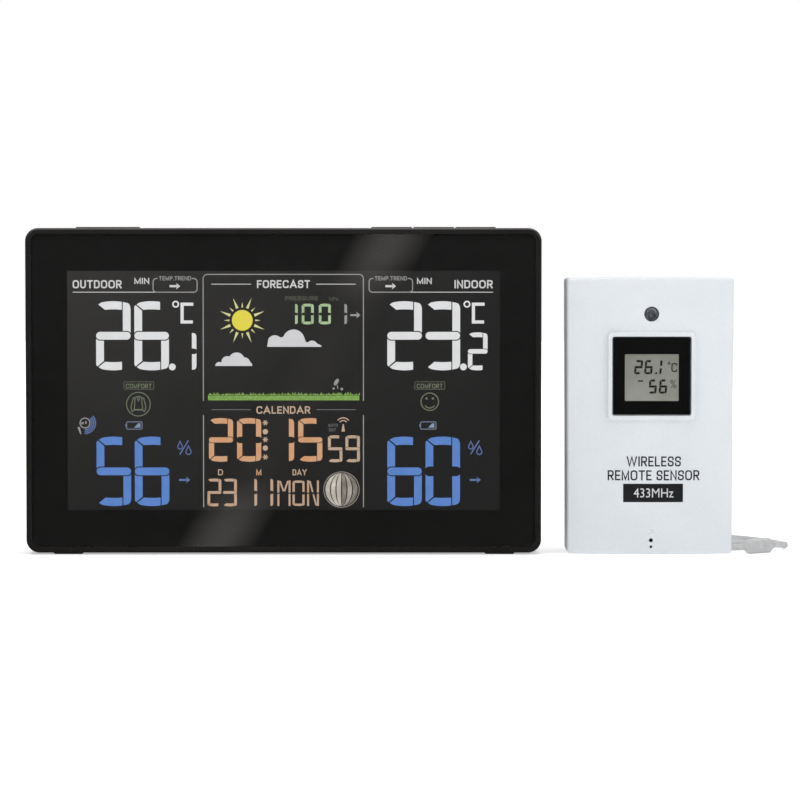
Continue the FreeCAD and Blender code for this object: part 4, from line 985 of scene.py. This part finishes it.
def draw_weekday(ink):
    """MON in thin sixteen-segment strokes."""
    low, high, stroke = -42.35, -33.0, 0.72
    middle = (low + high) / 2
    for u in (-2.0, 2.1, 8.9, 12.5):
        for v0, v1 in ((low, middle - 0.25), (middle + 0.25, high)):
            ink.slab(u - stroke / 2, u + stroke / 2, v0, v1)
    draw_digit(ink, "0", 3.2, low, 4.4, high - low, 0.8)
    m_left, m_right = ((-1.4, high - 0.2), (-0.1, middle + 0.7)), ((1.5, high - 0.2), (0.2, middle + 0.7))
    n_top, n_foot = ((9.5, high - 0.2), (10.6, middle + 0.4)), ((10.8, middle - 0.4), (11.9, low + 0.2))
    for slant in (m_left, m_right, n_top, n_foot):
        ink.line(slant, 0.6)


def draw_receiver(u, v):
    """The radio clock's mast with two arcs, and its two words."""
    mast = Ink("receiver_symbol", "sand")
    for radius in (1.65, 2.65):
        mast.line(arc(u, v - 2.65, radius, 40, 140, 10), 0.38)
    mast.polygon([(u - 0.65, v - 5.05), (u + 0.65, v - 5.05), (u + 0.2, v - 2.3), (u - 0.2, v - 2.3)])
    mast.done()
    words = Ink("receiver_words", "dim")
    words.letters("AUTO", 16.2, 19.8, -13.3, -12.2, 0.16)
    words.letters("DST", 16.6, 19.2, -15.0, -13.9, 0.16)
    words.done()


def draw_moon(u, v, radius):
    """A globe in six upright slices, lit from the left, inside a thin ring."""
    slices = [("left", "moon_light", (-3, -2, -1)), ("middle", "moon_half", (1,)),
              ("right", "moon_dark", (0, 2))]
    rows, margin = 12, 0.1
    angles = [math.radians(-78 + 156 * j / rows) for j in range(rows + 1)]
    for name, shade, places in slices:
        part = Ink("moon_" + name, shade)
        for place in places:
            left, right = [[(u + edge / 3 * radius * math.cos(a), v + radius * math.sin(a))
                            for a in angles] for edge in (place + margin, place + 1 - margin)]
            part.strip(left, right)
        if name == "middle":
            part.ring(u, v, radius + 0.4, 0.24, 64)
        part.done()


def draw_display():
    build_pane("front_lens_pane", "front_lens", STATION, "lens", LENS_CORNER, "mask",
               (-FIELD_HALF_U, FIELD_HALF_U, -FIELD_HALF_V, FIELD_HALF_V))
    draw_headings()
    for side, panel, battery_u, temperature, humidity in (("outdoor", STATION, -58.0, "261", "56"),
                                                          ("indoor", INDOOR, 49.7, "232", "60")):
        draw_readings(side, panel, temperature, humidity)
        draw_side_marks(side, panel, battery_u)
    draw_trend_box("outdoor", -47.7, -31.6)
    draw_trend_box("indoor", 31.3, 47.2)
    draw_coat(-53.2, -5.0)
    draw_smile(53.5, -4.1)
    draw_signal(-72.8, -11.9)
    draw_frames()
    draw_sun(-15.1, 25.7)
    draw_clouds()
    draw_pressure()
    draw_grass()
    draw_calendar()
    draw_clock(-6.75)
    draw_date()
    draw_receiver(21.8, -10.0)
    draw_moon(21.15, -36.35, 6.1)


# -------- the sensor

PRINT_PROUD = 0.03                             # how far the print stands off the sensor's face
SENSOR_DIGIT = (2.95, 5.25, 0.78)              # a digit's width, height and stroke


def surface_depth(node, panel):
    """How far back a node's front surface is at a spot on the panel."""
    tree = BVHTree.FromObject(NODES[node], bpy.context.evaluated_depsgraph_get())

    def depth(u, v):
        hit = tree.ray_cast(panel.at(u, v, -20), Vector((0, 1, 0)))[0]
        return (hit.y - panel.y) / MM
    return depth


def draw_sensor_print():
    """The words printed on the sensor's face, following its curve."""
    face = surface_depth("sensor_front", SENSOR)

    def on_face(u, v):
        return face(u, v) - PRINT_PROUD

    def on_box(u, v):
        return face(u, v) - 2 * PRINT_PROUD

    words = Ink("sensor_print", "print_black", SENSOR, "window_black", on_face, 0.06)
    words.letters("WIRELESS", -8.7, 11.2, -18.5, -14.8, 0.145)
    words.letters("REMOTE SENSOR", -15.6, 18.0, -23.6, -19.9, 0.145)
    words.slab(-9.95, 12.0, -31.6, -24.85, 16)
    words.done()
    band = Ink("sensor_frequency_print", "print_pale", SENSOR, "sensor_white", on_box, 0.02)
    band.text("433MHz", -6.1, 8.5, -29.9, -26.5)
    band.done()


def draw_sensor_window():
    """The window with its black border, and the readings on the display below it."""
    build_pane("sensor_window_pane", "sensor_window", SENSOR, "window_black", 0.9, "window_border",
               (-9.4, 10.3, 5.5, 22.6))
    on_lcd = (SENSOR, "sensor_lcd_face", SENSOR_LCD_DEPTH - 0.12, 0.08)
    ink = Ink("sensor_readings", "lcd_ink", *on_lcd)
    for signs, columns, v in (("261", (-6.0, -2.3, 1.1), 15.2), ("56", (-0.75, 3.05), 8.1)):
        draw_number(ink, signs, columns, (v, *SENSOR_DIGIT), lean=0.09)
    ink.disc(2.15, 15.6, 0.42, 12)
    ink.slab(-4.6, -2.6, 12.5, 13.0)
    ink.done()
    units = Ink("sensor_units", "lcd_ink_faded", *on_lcd)
    units.ring(6.9, 19.2, 0.36, 0.3, 16)
    units.letters("C", 7.7, 9.9, 16.0, 19.4, 0.15)
    units.text("%", 7.35, 9.6, 10.1, 13.2)
    units.done()


# -------- the probe's cord

CORD_DIAMETER = 0.0023
COIL_TURNS = 10.5
TURN_POINTS = 20
COIL_CENTRE = (0.099, 0.014)
COIL_MEAN_R = 0.01265
ON_TABLE = CORD_DIAMETER / 2
EXIT = (0.1243, -0.020342, 0.007)
# the stretches before and after the coil, each from the sensor towards the probe
LEAD = [
    EXIT,
    (EXIT[0], EXIT[1], 0.0039),
    (0.1272, EXIT[1], ON_TABLE),
    (0.1320, -0.019842, ON_TABLE),
    (0.1376, -0.016342, ON_TABLE),
    (0.1403, -0.010042, ON_TABLE),
    (0.1374, -0.0036, ON_TABLE),
    (0.1296, -0.0006, ON_TABLE),
    (0.1190, -0.0009, ON_TABLE),
    (0.1080, -0.00095, ON_TABLE),
]
TAIL = [
    (0.1075, 0.02895, 0.00775),
    (0.1175, 0.0286, 0.0042),
    (0.1280, 0.0256, 0.0016),
    (0.1372, 0.0196, ON_TABLE),
    (0.1440, 0.0108, ON_TABLE),
    (0.1484, 0.0014, ON_TABLE),
    (0.1506, -0.0074, 0.0012),
    (0.1510, -0.0156, 0.0015),
    (0.1496, -0.0230, 0.0027),
    (0.1448, -0.0266, 0.0027),
]
# the column and layer that each turn lies in, counted from the inside and from below
TURN_SPOTS = [(2, 0), (1, 0), (0, 0), (0, 1), (1, 1), (2, 1),
              (2, 2), (1, 2), (0, 2), (0, 3), (1, 3), (2, 3)]


def smooth(value):
    value = min(1.0, max(0.0, value))
    return value * value * (3 - 2 * value)


def coil_points():
    """The wound stretch, clockwise seen from above, each turn moving over to the next spot.

    A later turn moves over a little earlier in its round, so that it is out of the way of
    the turn that takes its place.
    """
    points = []
    for step in range(int(COIL_TURNS * TURN_POINTS) + 1):
        turns = step / TURN_POINTS
        column, layer = TURN_SPOTS[0]
        for i in range(len(TURN_SPOTS) - 1):
            moved = smooth((turns - (i + 0.94 - 0.055 * i)) / 0.13)
            column += (TURN_SPOTS[i + 1][0] - TURN_SPOTS[i][0]) * moved
            layer += (TURN_SPOTS[i + 1][1] - TURN_SPOTS[i][1]) * moved
        radius = (COIL_MEAN_R + (column - 1) * CORD_DIAMETER) / math.cos(math.pi / TURN_POINTS)
        angle = math.radians(-90 - 360 * turns)
        points.append((COIL_CENTRE[0] + radius * math.cos(angle),
                       COIL_CENTRE[1] + radius * math.sin(angle), CORD_DIAMETER * (layer + 0.5)))
    return points


def lay_cord():
    curve = bpy.data.curves.new("probe_cord", "CURVE")
    curve.dimensions = "3D"
    spline = curve.splines.new("NURBS")
    points = LEAD + coil_points() + TAIL
    spline.points.add(len(points) - 1)
    for spot, point in zip(points, spline.points):
        point.co = (*spot, 1.0)
    spline.order_u = 3
    spline.use_endpoint_u = True
    spline.resolution_u = 6
    curve.bevel_depth = CORD_DIAMETER / 2
    curve.bevel_resolution = 5
    curve.use_fill_caps = True
    curve.materials.append(MATERIALS["cord_grey"])
    cord = add_object("probe_cord", curve)
    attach(cord, "sensor")
    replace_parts(cord, "probe_cord_lead", "probe_cord_tail", "cord_coil")


# -------- stage

TARGET = Vector((0.0073, STATION.y, 0.0567))
CAMERA_DISTANCE = 1.2
CAMERA_ELEVATION = math.radians(2.5)
VIEW_WIDTH = 0.29256                # what the image spans at the station's face
LIGHT_AIM = Vector((0, 0, 0.05))
FLOOR_REACH = 3.0
CARD_Y, CARD_LOW, CARD_HIGH = -1.75, -0.36, 0.20


def place_camera():
    data = bpy.data.cameras.new("camera")
    data.sensor_width = 36.0
    data.lens = data.sensor_width * CAMERA_DISTANCE / VIEW_WIDTH
    data.clip_start = 0.01
    camera = add_object("camera", data)
    back = Vector((0, -math.cos(CAMERA_ELEVATION), math.sin(CAMERA_ELEVATION)))
    camera.location = TARGET + back * CAMERA_DISTANCE
    camera.rotation_mode = "QUATERNION"
    camera.rotation_quaternion = (-back).to_track_quat("-Z", "Y")
    bpy.context.scene.camera = camera


def place_light(name, spot, width, height, power):
    """A softbox that faces the object."""
    data = bpy.data.lights.new(name, "AREA")
    data.shape, data.size, data.size_y = "RECTANGLE", width, height
    data.energy = power
    light = add_object(name, data)
    light.location = spot
    light.rotation_mode = "QUATERNION"
    light.rotation_quaternion = (LIGHT_AIM - Vector(spot)).to_track_quat("-Z", "Y")


def flat_sheet(name, corners, material):
    mesh = bmesh.new()
    face = mesh.faces.new([mesh.verts.new(corner) for corner in corners])
    layer = mesh.loops.layers.uv.new("UVMap")
    for loop, spot in zip(face.loops, ((0, 0), (1, 0), (1, 1), (0, 1))):
        loop[layer].uv = spot
    data = bpy.data.meshes.new(name)
    mesh.to_mesh(data)
    mesh.free()
    data.materials.append(material)
    sheet = add_object(name, data)
    return sheet


def build_stage():
    corners = [(x * FLOOR_REACH, y * FLOOR_REACH, 0) for x, y in ((-1, -1), (1, -1), (1, 1), (-1, 1))]
    floor = flat_sheet("studio_floor", corners, floor_surface())
    floor.visible_glossy = floor.visible_transmission = False
    # a slanted strip behind the camera, which only the lens and gloss see
    corners = [(-0.315, CARD_Y, CARD_LOW), (-0.240, CARD_Y, CARD_LOW),
               (0.080, CARD_Y, CARD_HIGH), (0.005, CARD_Y, CARD_HIGH)]
    card = flat_sheet("reflection_card", corners, reflection_card())
    card.visible_camera = card.visible_diffuse = False
    card.visible_shadow = card.visible_transmission = False
    place_light("top_softbox", (0.0, -0.25, 1.3), 1.8, 1.4, 13)
    place_light("left_softbox", (-1.2, -1.3, 1.1), 1.0, 1.0, 3)
    place_light("right_softbox", (1.4, -1.1, 0.9), 0.9, 1.0, 5)
    place_light("rear_softbox", (0.3, 1.4, 1.1), 1.2, 0.9, 6)


def light_world():
    """White behind the object; for the lens and the plastics, dim in front and brighter above."""
    world = bpy.data.worlds.new("studio")
    bpy.context.scene.world = world
    world.use_nodes = True
    world.node_tree.nodes.clear()
    made = NodeMaker(world.node_tree)
    place = made.node("ShaderNodeTexCoord").outputs["Generated"]
    upward = made.node("ShaderNodeSeparateXYZ", Vector=place).outputs["Z"]
    around = made.node("ShaderNodeBackground", Strength=made.spread(upward, -0.05, 0.8, 0.06, 0.55))
    behind = made.node("ShaderNodeBackground", Color=(1, 1, 1, 1), Strength=1.0)
    mix = made.node("ShaderNodeMixShader", Fac=made.node("ShaderNodeLightPath").outputs["Is Camera Ray"])
    for socket, source in ((1, around), (2, behind)):
        made.put(source.outputs[0], mix.inputs[socket])
    made.node("ShaderNodeOutputWorld", Surface=mix.outputs[0])


# -------- the whole

place_camera()
lay_cord()
dress_nodes()
draw_display()
draw_sensor_print()
draw_sensor_window()
build_stage()
light_world()
bpy.context.scene.view_settings.view_transform = "Standard"
